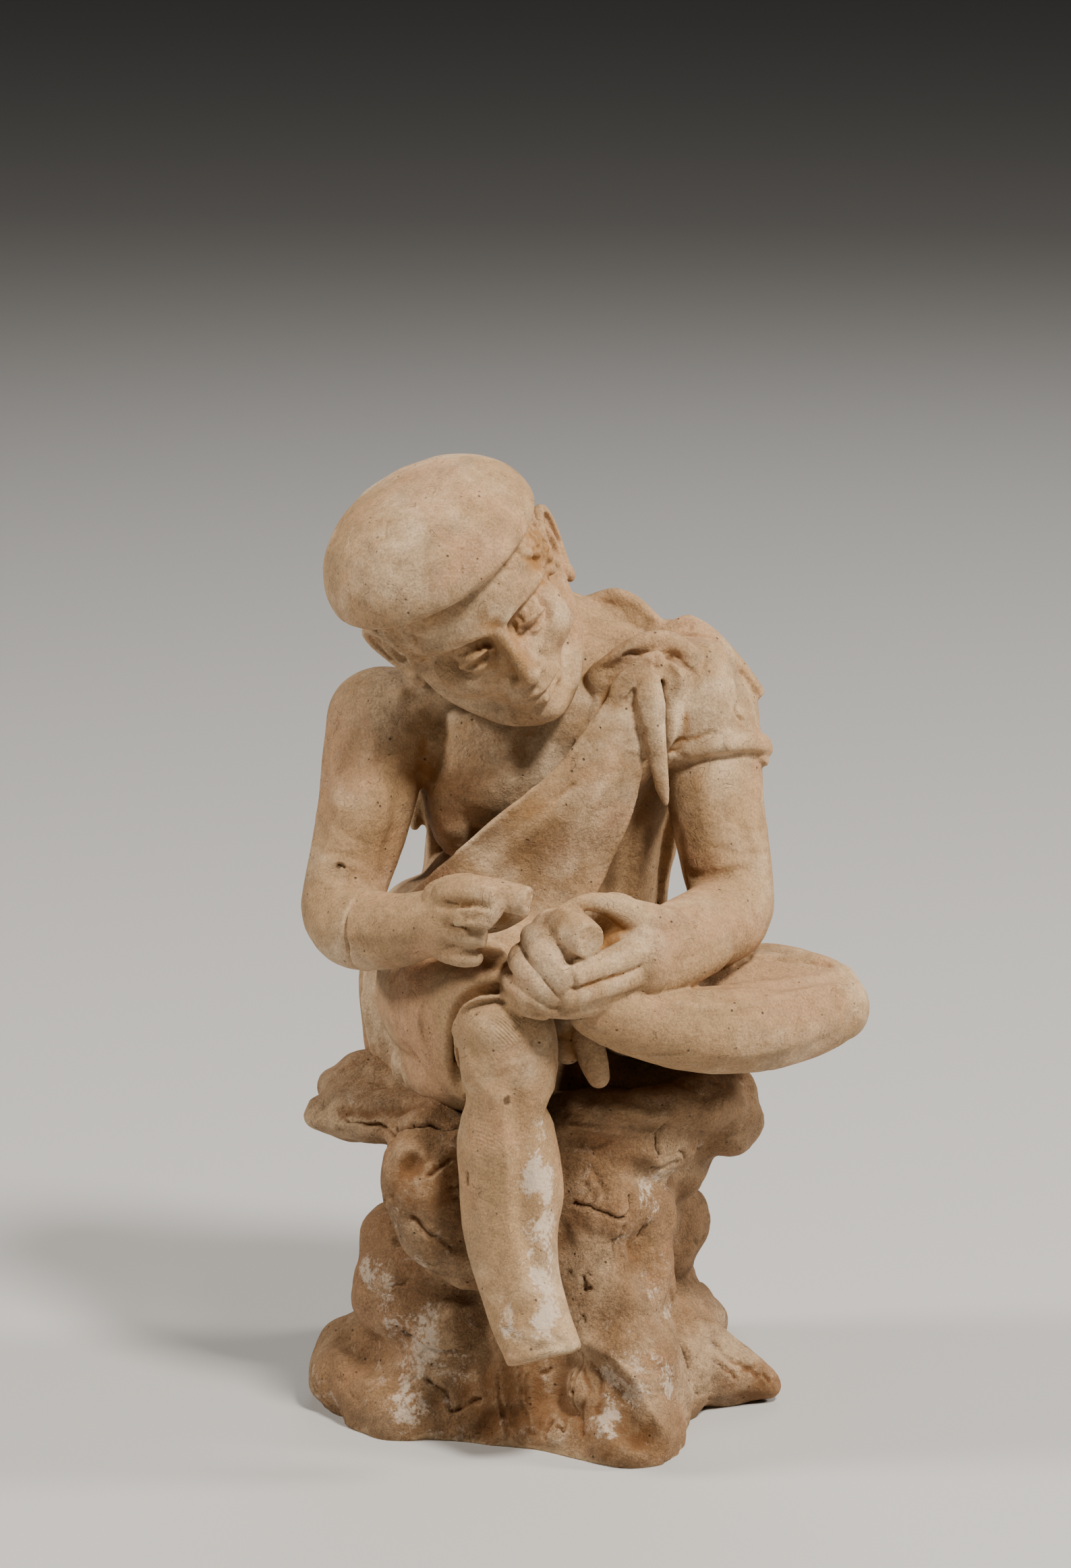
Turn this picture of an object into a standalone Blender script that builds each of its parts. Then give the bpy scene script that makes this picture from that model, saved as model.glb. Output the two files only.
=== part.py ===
# Terracotta statue of a seated man in a flat cap, bent over the foot that he holds, on a rock.
# Metres, +Z up. The man faces -Y, and his left is +X. The origin is on the rock's flat underside.
import math

import bmesh
import bpy
import numpy as np
from mathutils import Euler, Matrix, Vector, noise
from mathutils.kdtree import KDTree

# Driving dimensions, in metres
SEAT_HEIGHT = 0.070
FIGURE_HEIGHT = 0.135
ROCK_WIDTH = 0.101
ROCK_DEPTH = 0.104
CLOTH_THICKNESS = 0.0020
CUFF_HEIGHT = 0.0044

# The forms below are drawn in millimetres, at these sizes, and scaled to the dimensions above
DRAWN_SEAT = 70.0
DRAWN_FIGURE = 135.0
DRAWN_ROCK_WIDTH = 101.0
DRAWN_ROCK_DEPTH = 104.0

# How fine the clay is worked, in drawn millimetres, and the triangles of the finished solid
CLAY_GRAIN = 1.0
FIGURE_GRAIN = 0.7
TRIANGLES = 9800

# Rounds of smoothing that each kind of surface gets
FLESH_ROUNDS = 14
CLOTH_ROUNDS = 3
HEAD_ROUNDS = 2
HAND_ROUNDS = 1
ROCK_ROUNDS = 14

# Broken stone: size and height of its lumps, in drawn millimetres
ROCK_LUMPS = ((15, 2.6), (7, 1.0))

FIGURE_SCALE = FIGURE_HEIGHT / DRAWN_FIGURE
CLOTH = CLOTH_THICKNESS / FIGURE_SCALE
CUFF = CUFF_HEIGHT / FIGURE_SCALE


# Tools for working the clay

def flowing(rows, steps):
    """Rows of numbers with steps in between, on a smooth curve through all of them."""
    rows = [np.array(row, float) for row in rows]
    ends = [2 * rows[0] - rows[1], *rows, 2 * rows[-1] - rows[-2]]
    made = []
    for before, a, b, after in zip(ends, ends[1:], ends[2:], ends[3:]):
        for t in np.arange(steps) / steps:
            straight = (b - before) * t
            bend = (2 * before - 5 * a + 4 * b - after) * t**2
            twist = (3 * a - before - 3 * b + after) * t**3
            made.append(a + (straight + bend + twist) / 2)
    return made + [rows[-1]]


def put(clay, piece):
    """Adds a finished piece to the clay."""
    bmesh.ops.recalc_face_normals(piece, faces=piece.faces)
    kept = bpy.data.meshes.new("piece")
    piece.to_mesh(kept)
    piece.free()
    clay.from_mesh(kept)
    bpy.data.meshes.remove(kept)


def limb(clay, stations, side=(1, 0, 0), round_ends=(True, True), sides=16, steps=4):
    """A rounded bar through stations (x, y, z, half width, half depth), its width along side."""
    rows = flowing([(*s, s[3]) if len(s) == 4 else s for s in stations], steps)
    places = [Vector(row[:3]) for row in rows]
    rings = []
    for i, (place, row) in enumerate(zip(places, rows)):
        along = (places[min(i + 1, len(rows) - 1)] - places[max(i - 1, 0)]).normalized()
        rings.append((place, along, max(row[3], 0.2), max(row[4], 0.2)))
    for end, way in ((0, -1), (-1, 1)):
        if round_ends[end]:
            place, along, wide, deep = rings[end]
            cap = []
            for angle in (35, 62, 82):
                out = along * way * min(wide, deep) * math.sin(math.radians(angle))
                less = math.cos(math.radians(angle))
                cap.append((place + out, along, wide * less, deep * less))
            rings = cap[::-1] + rings if end == 0 else rings + cap
    piece = bmesh.new()
    loops = []
    for place, along, wide, deep in rings:
        across = Vector(side) - along * along.dot(Vector(side))
        across = along.orthogonal() if across.length < 0.05 else across.normalized()
        turn = Matrix((across * wide, along.cross(across) * deep, along)).transposed().to_4x4()
        turn.translation = place
        made = bmesh.ops.create_circle(piece, segments=sides, radius=1.0, matrix=turn)
        loops.append(made["verts"])
    for low, high in zip(loops, loops[1:]):
        edges = {edge for vert in low + high for edge in vert.link_edges if edge.is_wire or edge.is_boundary}
        bmesh.ops.bridge_loops(piece, edges=list(edges))
    for loop in (loops[0], loops[-1]):
        piece.faces.new(loop)
    put(clay, piece)


def ball(clay, centre, radii, turn=(0, 0, 0)):
    """An ellipsoid with these half axes, turned by angles in degrees."""
    radii = (radii,) * 3 if isinstance(radii, (int, float)) else radii
    spin = Euler([math.radians(a) for a in turn]).to_matrix().to_4x4()
    place = Matrix.Translation(centre) @ spin @ Matrix.Diagonal((*radii, 1))
    piece = bmesh.new()
    bmesh.ops.create_icosphere(piece, subdivisions=3, radius=1.0, matrix=place)
    put(clay, piece)


def sheet(clay, rows, thickness, steps=4):
    """A sheet of cloth through rows of points, half its thickness to each side."""
    across = [flowing(row, steps) for row in rows]
    columns = [flowing(column, steps) for column in zip(*across)]
    piece = bmesh.new()
    bmesh.ops.create_grid(piece, x_segments=len(columns) - 1, y_segments=len(columns[0]) - 1, size=1)
    order = sorted(piece.verts, key=lambda vert: (round(vert.co.x, 4), round(vert.co.y, 4)))
    for vert, point in zip(order, [point for column in columns for point in column]):
        vert.co = Vector(point)
    piece.normal_update()
    normals = {vert.co.to_tuple(5): vert.normal * (thickness / 2) for vert in piece.verts}
    upper = bmesh.ops.extrude_face_region(piece, geom=piece.faces[:], use_keep_orig=True)
    moved = {item for item in upper["geom"] if isinstance(item, bmesh.types.BMVert)}
    for vert in piece.verts:
        half = normals[vert.co.to_tuple(5)]
        vert.co += half if vert in moved else -half
    put(clay, piece)


def wrap(clay, stations, thickness, points=9, steps=4):
    """Cloth round an axis, from level arcs (x, y, z, half width, half depth, first angle,
    last angle). Angle 0 points along +X and 90 along +Y."""
    rows = []
    for x, y, z, wide, deep, first, last in stations:
        angles = np.radians(np.linspace(first, last, points))
        rows.append([(x + wide * math.cos(a), y + deep * math.sin(a), z) for a in angles])
    sheet(clay, rows, thickness, steps)


def worked(clay, name, grain, rounds):
    """The clay pressed into one surface and smoothed."""
    mesh = bpy.data.meshes.new(name)
    clay.to_mesh(mesh)
    clay.free()
    body = bpy.data.objects.new(name, mesh)
    bpy.context.scene.collection.objects.link(body)
    pressed = body.modifiers.new("pressed", "REMESH")
    pressed.mode = "VOXEL"
    pressed.voxel_size = grain
    softened = body.modifiers.new("softened", "SMOOTH")
    softened.iterations = rounds
    graph = bpy.context.evaluated_depsgraph_get()
    done = bpy.data.meshes.new_from_object(body.evaluated_get(graph))
    bpy.data.objects.remove(body)
    bpy.data.meshes.remove(mesh)
    return done


def largest_shell(mesh):
    """Leaves only the biggest connected surface of the mesh."""
    clay = bmesh.new()
    clay.from_mesh(mesh)
    waiting = set(clay.verts)
    shells = []
    while waiting:
        shell = {waiting.pop()}
        front = list(shell)
        while front:
            near = [edge.other_vert(vert) for vert in front for edge in vert.link_edges]
            front = [vert for vert in set(near) if vert not in shell]
            shell.update(front)
        waiting -= shell
        shells.append(shell)
    shells.sort(key=len)
    bmesh.ops.delete(clay, geom=[vert for shell in shells[:-1] for vert in shell], context="VERTS")
    clay.to_mesh(mesh)
    clay.free()


def carve(mesh, strokes):
    """Draws lines in the surface: (points of the line, width, depth), a negative depth raises a ridge.
    A line is laid on the nearest surface, and works only the side of the form that it lies on."""
    spots = np.empty(len(mesh.vertices) * 3)
    mesh.vertices.foreach_get("co", spots)
    spots = spots.reshape(-1, 3)
    normals = np.empty(len(mesh.vertices) * 3, np.float32)
    mesh.vertices.foreach_get("normal", normals)
    normals = normals.reshape(-1, 3)
    tree = KDTree(len(spots))
    for i, spot in enumerate(spots):
        tree.insert(spot, i)
    tree.balance()
    for path, width, depth in strokes:
        points = flowing(path, 4) if len(path) > 1 else path
        under = [tree.find(point)[1] for point in points]
        line, sides = spots[under], normals[under]
        reach = width + abs(depth)
        inside = np.all((spots > line.min(0) - reach) & (spots < line.max(0) + reach), axis=1)
        chosen = np.nonzero(inside)[0]
        near, turned = spots[chosen], normals[chosen]
        nearest = np.full(len(near), np.inf)
        facing = np.zeros(len(near))
        for i in range(max(len(line) - 1, 1)):
            a, b = line[i], line[min(i + 1, len(line) - 1)]
            along = b - a
            share = np.clip((near - a) @ along / max(along @ along, 1e-9), 0, 1)
            distance = np.linalg.norm(near - a - share[:, None] * along, axis=1)
            closer = distance < nearest
            nearest[closer] = distance[closer]
            facing[closer] = (turned @ sides[i])[closer]
        strength = np.clip(1 - (nearest / width) ** 2, 0, 1) ** 2 * np.clip(facing * 2, 0, 1)
        spots[chosen] -= turned * (strength * depth)[:, None]
    mesh.vertices.foreach_set("co", spots.ravel())
    mesh.update()


def roughened(mesh, heights):
    """Lumps and creases of broken stone, as (size, height) pairs."""
    normals = [vert.normal.copy() for vert in mesh.vertices]
    for vert, normal in zip(mesh.vertices, normals):
        raised = sum(height * (noise.turbulence(vert.co / size, 2, True) - 0.5) for size, height in heights)
        vert.co += normal * raised
    mesh.update()


# The man

def torso(clay):
    """Hips, waist, chest and the trapezius muscles up to the bent neck."""
    limb(clay, [(-1, 14, 68, 26, 21), (-1, 14, 84, 27, 22), (0, 14, 100, 22.5, 21),
                (0.5, 12, 116, 21.5, 19.4),
                (1, 9, 130, 22.5, 19.4), (2, 6, 142, 26, 18.6), (2, 4, 152, 24, 15), (3, 4, 159, 15, 11)])
    ball(clay, (-11, -8, 141), (12.5, 7, 10), (10, 0, -6))
    ball(clay, (13, -6, 141), (12, 7, 10), (10, 0, 6))
    ball(clay, (-1, 0, 114), (15, 13, 12))
    ball(clay, (-2, 2, 104), (20, 16, 10))
    limb(clay, [(6, 6, 152, 12), (1, 2, 161, 10.5), (-5, -3, 168, 10.5), (-10, -7, 174, 11)])
    limb(clay, [(4, 6, 163, 8), (16, 6, 159.4, 7.4), (30, 4, 154, 8)], side=(0, 1, 0))
    limb(clay, [(-2, 5, 160, 8), (-16, 3, 154, 7.6), (-30, 1, 149, 9)], side=(0, 1, 0))


def arms(clay):
    """Both arms, bent at the elbow, the forearms reaching forward over the lap."""
    ball(clay, (-33.6, 1, 146.4), (12, 12, 12.4))
    limb(clay, [(-34, 0, 147, 11.4, 12), (-35.8, -3, 137, 10.8, 12), (-37.8, -7, 126, 9.9, 11.2),
                (-41, -12, 115, 9, 10), (-41.8, -14.5, 109.5, 8.8, 9.4)])
    ball(clay, (-37.4, -11, 131), (7.6, 8, 11), (-20, 0, 10))
    limb(clay, [(-41.6, -14, 108.4, 9, 8.6), (-38, -23, 107.6, 9.2, 8.8), (-31, -33, 109.4, 8, 8),
                (-24, -41, 112.6, 6.6, 7), (-18, -46, 114.5, 6.5, 7.5)], side=(0.8, 0.6, 0))
    ball(clay, (35, 4, 150.6), (11.6, 11.6, 12))
    limb(clay, [(35.4, 3, 152, 11.3, 12), (36.6, -1, 143, 9.8, 11), (38, -6, 130, 9.4, 10.4),
                (40, -11, 117, 9, 9.8), (41, -13, 110.5, 8.6, 9)])
    ball(clay, (38, -9, 132), (7, 7, 10), (-15, 0, 0))
    limb(clay, [(40.8, -12, 110, 8.6, 8.8), (38, -20, 108.5, 9.4, 9.2), (31, -31, 108, 8.6, 8.4),
                (25, -39, 108, 7.6, 7.2), (19, -44, 107, 7.6, 7.4)], side=(0.8, -0.6, 0))


def legs(clay):
    """The right leg hangs down and ends in a break above the foot, the left lies across."""
    limb(clay, [(-18, 16, 84, 15, 14), (-17, -4, 89, 14.5, 13.5), (-13, -26, 92.5, 12.5, 12),
                (-8.8, -42, 93.5, 10.4, 10.4)])
    limb(clay, [(-8.3, -44, 94.5, 9.4, 9.6), (-7.2, -46, 87, 9.6, 9.8), (-6.4, -46, 78, 9.3, 9.8),
                (-6.4, -45, 68, 10.2, 11.4), (-6.2, -46, 56, 9.4, 10.6), (-4.2, -49, 45, 8.4, 9),
                (-1.6, -53, 35, 7.4, 7.6), (0.2, -56.4, 27.5, 7.3, 6.6), (0.8, -57.6, 24.6, 7.5, 6.4)],
         round_ends=(True, False))
    ball(clay, (-8.2, -51.5, 93), (6.2, 4.6, 7.2))
    limb(clay, [(17, 12, 84, 15, 13), (34, 2, 87.5, 12.5, 11), (50, -9, 90, 11, 10.4),
                (59, -16, 90.5, 9, 9.4)],
         side=(0.5, 0.8, 0))
    limb(clay, [(60.5, -19, 89.6, 9.2, 8.6), (52, -27, 88.6, 9.2, 9.4), (40, -36, 89, 9, 9.6),
                (29, -42, 90.6, 8, 8.8), (19, -46.5, 93.5, 6.8, 7.6), (12, -48.5, 97, 6.4, 7.4)],
         side=(0.5, 0.8, 0))
    limb(clay, [(20, -18, 86, 15, 7), (34, -17, 86, 14, 7), (46, -18, 87, 9, 6.4)], side=(0, 1, 0))


def lap(clay):
    """A plain lobe in the shadow between the thighs."""
    limb(clay, [(6.4, -31, 90, 4.4), (8.4, -35, 84, 4.6), (10.6, -36.4, 79, 3.6), (11.6, -37, 76, 2.2)])


def flesh(clay):
    """The bare body."""
    torso(clay)
    arms(clay)
    legs(clay)


BODY_LINES = [
    ([(-1, -16, 150), (-1.6, -17, 140), (-2, -15, 130)], 4, 1.3),
    ([(-23, -9, 135), (-15, -15, 132), (-5, -16, 134)], 3, 1.4),
    ([(-3, -9, 158), (-18, -8, 157), (-30, -7, 153)], 4, -1.3),
    ([(-23, -8, 152), (-22.6, -10, 144), (-23, -8, 138)], 3, 1.2),
    ([(-47, -19, 115), (-41, -23, 115.6), (-36, -21, 116)], 2, 1.4),
    ([(-45.4, -6, 140), (-45, -12, 128), (-46, -14, 120)], 4, 0.8),
    ([(-28, -12, 138), (-28.6, -16, 126), (-31, -18, 118)], 4, 0.8),
    ([(46, -14, 117), (38, -20, 117.6), (32, -16, 118)], 2, 1),
    ([(44, -10, 138), (42, -15, 128), (44, -18, 118)], 4, 0.7),
    ([(-12, -58, 89), (-8, -58.4, 86), (-4, -56, 88)], 2.4, 0.8),
    ([(-9, -56, 84), (-8, -57, 70), (-6.6, -58, 54), (-3, -60, 38)], 4, -0.9),
    ([(-14.6, -48, 82), (-14.4, -50, 70), (-13.6, -50, 58)], 3.4, 0.7),
    ([(0.6, -50, 80), (1.6, -50, 72), (2.6, -50, 60)], 3.4, 0.6),
    ([(54, -24, 96), (44, -30, 97), (34, -34, 98)], 4, 0.8),
    ([(66, -22, 94), (64, -26, 88)], 3, 0.8),
]


def right_hand(clay):
    """A fist that pinched the thorn: the first two fingers and the thumb are broken off."""
    ball(clay, (-17.6, -46.5, 115), (7.2, 6.6, 9.6), (0, 12, 0))
    limb(clay, [(-19, -49, 121.6, 3.2), (-13.5, -52, 122.8, 3.4), (-8.4, -54.2, 122.2, 3.3),
                (-4, -55.5, 119.8, 3.2)],
         round_ends=(True, False))
    limb(clay, [(-19.5, -49.5, 117, 3.2), (-14, -54, 118, 3.3),
                (-9.8, -56, 118, 3.2)], round_ends=(True, False))
    limb(clay, [(-19.5, -50, 113, 3), (-14.5, -53.5, 113.4, 2.9),
                (-11, -54.5, 113, 2.7)], round_ends=(True, False))
    limb(clay, [(-20.5, -49, 110.4, 2.6), (-16, -52.8, 110, 2.5), (-11.5, -53.6, 109.6, 2.2),
                (-11, -50, 110, 2)])
    limb(clay, [(-20.6, -46.5, 107, 2.5), (-17, -50.8, 106.4, 2.4), (-12.6, -52, 106.2, 2.1),
                (-12, -48.5, 107, 2)])
    limb(clay, [(-15, -43, 117, 3), (-9.6, -45.5, 115.4, 2.4), (-7, -48.5, 114, 2)])


def left_hand(clay):
    """The hand that holds the foot, its thumb on top and three fingers round the sole."""
    ball(clay, (17.5, -45.5, 106), (8.6, 6.4, 9), (0, 0, -30))
    limb(clay, [(20, -43.5, 112.6, 4.4), (14.6, -48, 117.4, 3.5), (9.4, -50.8, 119, 2.8),
                (4.8, -52.4, 117.8, 1.5)])
    limb(clay, [(19, -49, 105.6, 3.4), (12, -55, 106, 3.1),
                (6.6, -59, 105.6, 2.7)], round_ends=(True, False))
    limb(clay, [(19, -49.5, 101, 3.2), (12, -55.5, 101, 3), (5.4, -59, 100.6, 2.6)])
    limb(clay, [(18, -48.5, 97.4, 2.8), (10, -54, 97, 2.7), (3, -57, 96.8, 2.2)])


def held_foot(clay):
    """The left foot, sole up, with the big toe broken off."""
    ball(clay, (8, -49.5, 104.5), (8.6, 6.2, 8))
    limb(clay, [(4.5, -50, 112, 4.4), (8, -56, 112.6, 4.2),
                (11, -61.4, 110.8, 3.9)], round_ends=(True, False))
    limb(clay, [(-1.8, -51, 110.6, 3.6, 3), (1.2, -57, 108.4, 3.6, 3), (4, -59.4, 105.4, 2.8, 2.6)])
    limb(clay, [(-4, -51, 107, 3, 2.8), (-1, -56.6, 104.6, 3.2, 2.8), (2.6, -58.8, 102, 2.6, 2.4)])
    limb(clay, [(-5.4, -50.5, 102.8, 2.7), (-2.8, -55.4, 100.4, 2.8), (1, -57.6, 98.6, 2.2)])
    limb(clay, [(-5.8, -50, 99, 2.4), (-3.6, -54, 97, 2.4), (0, -56, 96, 1.8)])


def grips(clay):
    """Both hands and the foot that they hold."""
    right_hand(clay)
    left_hand(clay)
    held_foot(clay)
    lap(clay)


# His head

def skull(clay):
    """Cranium, face, jaw and ears, drawn upright: the face looks along -Y."""
    ball(clay, (0, 3, 7), (18.4, 22.5, 20))
    ball(clay, (0, -6, -7), (15.4, 16.2, 19))
    ball(clay, (0, -8, 9), (15.8, 14.4, 11))
    for way in (-1, 1):
        limb(clay, [(way * 15.2, 2, -8, 5), (way * 11.6, -8, -18, 5.2), (way * 5, -15, -23, 5)])
        ball(clay, (way * 9.6, -14.5, -7), (6.2, 5.6, 6.4))
        limb(clay, [(way * 14.6, -14, 3.6, 1.8), (way * 8, -19.6, 5.6, 2.2), (way * 2.5, -21, 4.4, 2)])
        ball(clay, (way * 7.4, -17, -0.6), (4.2, 4, 3.2))
        ball(clay, (way * 3.2, -22.6, -9.2), (2, 2.6, 2))
        ball(clay, (way * 19.4, 3.2, -4), (2.2, 5.4, 8.2), (0, 0, way * -24))
        limb(clay, [(way * 18.4, -0.6, -2.4, 1.2), (way * 19.4, -1, 1.6, 1.3), (way * 20.8, 2.6, 4, 1.4),
                    (way * 22.2, 7, 1.8, 1.5), (way * 22, 7.4, -3.4, 1.4), (way * 20.4, 4.4, -9, 1.6),
                    (way * 19.2, 1.6, -11.4, 1.9)])
    ball(clay, (0, -19, -22), (5.4, 4.4, 4.4))
    limb(clay, [(0, -20.4, 3.4, 2), (0, -23.4, -2, 2.2), (0, -26, -6.8, 2.6), (0, -25.8, -8.8, 2.4)])
    ball(clay, (0, -18, -14), (6.6, 4.4, 5))
    limb(clay, [(-5, -19.8, -15, 0.8), (-2.2, -22.2, -14, 1.3), (0, -22.4, -14.4, 1.2),
                (2.2, -22.2, -14, 1.3), (5, -19.8, -15, 0.8)])
    limb(clay, [(-4.6, -19.8, -16.6, 0.9), (0, -22, -17.2, 1.5), (4.6, -19.8, -16.6, 0.9)])


def face(clay):
    """The bare head."""
    skull(clay)


FACE_LINES = [
    ([(-5.2, -20.4, -15.8), (0, -23, -15.8), (5.2, -20.4, -15.8)], 1.5, 1.2),
    ([(-3, -21, -19.4), (0, -22, -19.8), (3, -21, -19.4)], 2.4, 1.0),
    *[([(way * 3.9, -21, -1.6), (way * 7.4, -21.6, -2.4),
        (way * 11, -18.6, -1.6)], 1.1, 0.9) for way in (-1, 1)],
    *[([(way * 3.9, -21, 1), (way * 7.4, -21.4, 2.1),
        (way * 11.4, -18.4, 1)], 1.2, 0.8) for way in (-1, 1)],
    *[([(way * 4.2, -21, -4.4), (way * 8, -20.6, -5), (way * 12, -17, -3.4)], 2, 0.6) for way in (-1, 1)],
    *[([(way * 4, -23, -8.4), (way * 7, -21, -12), (way * 8, -18.6, -16.6)], 2, 0.8) for way in (-1, 1)],
    *[([(way * 15.4, -9, 3)], 6, 1.2) for way in (-1, 1)],
    *[([(way * 21.6, 1.6, 0), (way * 22, 3.6, -3.4), (way * 20.6, 1.8, -7)], 3, 2.2) for way in (-1, 1)],
]


def cap(clay):
    """A flat round cap, domed on top, with a full rim that overhangs the brow."""
    half_width, half_length, dome, lip = 24.4, 25.4, 11.5, 4.4
    piece = bmesh.new()
    bmesh.ops.create_uvsphere(piece, u_segments=32, v_segments=24, radius=1.0)
    for vert in piece.verts:
        high = dome if vert.co.z > 0 else lip
        vert.co = (vert.co.x * half_width, vert.co.y * half_length, vert.co.z * high)
    tilt = Euler((math.radians(4), 0, 0)).to_matrix().to_4x4()
    bmesh.ops.transform(piece, matrix=Matrix.Translation((-2.0, -0.2, 14.5)) @ tilt, verts=piece.verts)
    put(clay, piece)


# Tufts at each side of the head: place (y, z) and backward lean
TUFTS = [(-7, 6, -0.5), (-3.6, 4.6, -0.2), (0, 7, 0), (5, 7, 0.3), (9, 3, 0.4), (11, -3, 0.5),
         (12, -9, 0.5)]


def hair(clay):
    """Short tufts that show between the cap and the ears, and a fringe round the back."""
    for way in (-1, 1):
        for y, z, slope in TUFTS:
            x = way * (17.4 - 0.1 * abs(y - 2) - 0.012 * (y - 2) ** 2)
            limb(clay, [(x, y, z + 5, 2.4), (x * 1.03, y + slope * 3, z, 2.2),
                        (x * 0.98, y + slope * 6, z - 4.6, 1.1)])
    for x in range(-12, 13, 4):
        deep = 20.6 - x * x * 0.02
        limb(clay, [(x, deep, 2, 2.6), (x + 1, deep - 0.4, -5, 2.4), (x + 1.6, deep - 3.4, -11.4, 1.1)])


def bonnet(clay):
    """Cap and hair."""
    cap(clay)
    hair(clay)


def head_place():
    """Where the upright head stands: turned, bowed and leaning to the right arm."""
    front = Vector((0.339, -0.893, -0.304)).normalized()
    crown = Vector((-0.465, -0.439, 0.771))
    crown = (crown - front * crown.dot(front)).normalized()
    stand = Matrix((crown.cross(front), -front, crown)).transposed().to_4x4()
    stand.translation = (-14.5, -12.4, 176.6)
    return stand


# His clothes

def clothes(clay):
    """Tunic slung from the left shoulder, its back, the skirt over the right thigh, and the scarf."""
    half = CLOTH / 2
    sheet(clay, [[(19, -11, 161), (22, -13, 159), (25, -12, 156)],
                 [(11, -16.5, 151), (17, -18.5, 149), (22.5, -15, 147)],
                 [(3, -20, 141), (12, -21.6, 139), (21, -16, 140)],
                 [(-7, -20, 132.5), (6, -22, 130), (19, -15, 131)],
                 [(-15, -17, 125), (1, -20, 121), (16.5, -15, 124)],
                 [(-22, -13, 118), (-6, -20, 112), (13, -17, 116)],
                 [(-29, -6, 109), (-12, -22, 105), (8, -22, 106)]], CLOTH * 1.4)
    limb(clay, [(-17, 10, 66, 18.5, 21), (-19, 8, 78, 19.4, 22), (-19, 6, 90, 20, 22), (-19, 4, 99, 18, 20),
                (-15, 4, 107, 12, 16)], round_ends=(False, True), sides=20)
    limb(clay, [(-18, 10, 86, 19, 17), (-18, -6, 90, 18, 17), (-16, -20, 91, 16, 16.4),
                (-13.8, -29, 90.6, 14, 15), (-13, -33, 90.4, 13, 13.6)], round_ends=(True, False), sides=20)
    ball(clay, (-8, -20, 101), (20, 13, 9), (0, 8, -10))
    wrap(clay, [(0, 16, 67, 30, 23, -10, 200), (0, 15.6, 75, 28.6, 21.4, -12, 196),
                (0, 16, 90, 28.5, 20.2, -12, 196),
                (0, 15, 106, 25.4, 19, -12, 194), (0.8, 12, 120, 24.2, 19, -14, 192),
                (1, 8.6, 134, 25.6, 19.2, 0, 184),
                (2, 6, 146, 27, 16.8, 14, 160), (4, 6, 154, 24, 12.8, 30, 140)], CLOTH * 1.2, points=15)
    limb(clay, [(13, -9, 157, 1.6), (16.4, -9.4, 162, 2), (21.4, -8, 165.4, 2.2), (27, -7, 165, 2.3),
                (31.4, -7.6, 161.6, 2.1), (32.4, -8.6, 158.6, 1.4)])
    limb(clay, [(3, 11, 168, 1.8), (11, 9.4, 170.6, 2.1, 2.8), (18.4, 8.6, 168, 2.1, 3),
                (26, 7, 165.2, 2.1, 2.8)])
    limb(clay, [(24, 7.6, 165.4, 2, 2.4), (31, 10, 164, 2, 2.8), (36.6, 12.4, 160.4, 2, 2.8),
                (41.6, 13, 154.6, 1.9, 2.8),
                (45, 13, 149, 1.8, 2.8)], round_ends=(True, False))
    ball(clay, (20.4, -10.6, 160), (4.6, 2.8, 3.2), (0, 35, 0))
    limb(clay, [(21.6, -12, 160.4, 1.6, 1.2), (21.6, -14.6, 154.6, 2.6, 1.8), (22.2, -17, 147.4, 2.6, 1.8),
                (23.8, -18.2, 139, 2.1, 1.5), (26.2, -17, 131, 1.2, 1.2)])
    limb(clay, [(25, -11.4, 160.4, 2, 1.2), (28.4, -12, 157.6, 2.4, 1.4), (28.6, -12.6, 152.4, 2, 1.2),
                (26.8, -13, 147.6, 0.8)])
    limb(clay, [(35, 3.6, 152, 10.8 + half, 11.2 + half), (36, 0.4, 145, 9.9 + half, 11 + half),
                (36.6, -1.4, 140.4, 9.4 + half, 10.6 + half)], round_ends=(True, False))
    rise = CUFF / 2
    limb(clay, [(36.4, -1.0, 140.8 + rise, 11.6, 12.6), (36.5, -1.4, 140.8, 12, 13),
                (36.6, -1.8, 140.8 - rise, 11.6, 12.6)],
         side=(1, 0, 0.1), round_ends=(False, False), sides=24)


def hem(clay):
    """The free edge of the skirt, which stands off the knee."""
    rows = []
    for y, x, z, wide, high in ((-28, -13.4, 91, 14, 15), (-36, -11.4, 90, 12.4, 16),
                                (-44, -9.4, 89, 10.6, 16.4)):
        angles = np.radians(np.linspace(60, 240, 14))
        rows.append([(x + wide * math.cos(a), y, z + high * math.sin(a)) for a in angles])
    sheet(clay, rows, CLOTH)


def dress(clay):
    """All the cloth."""
    clothes(clay)
    hem(clay)


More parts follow.
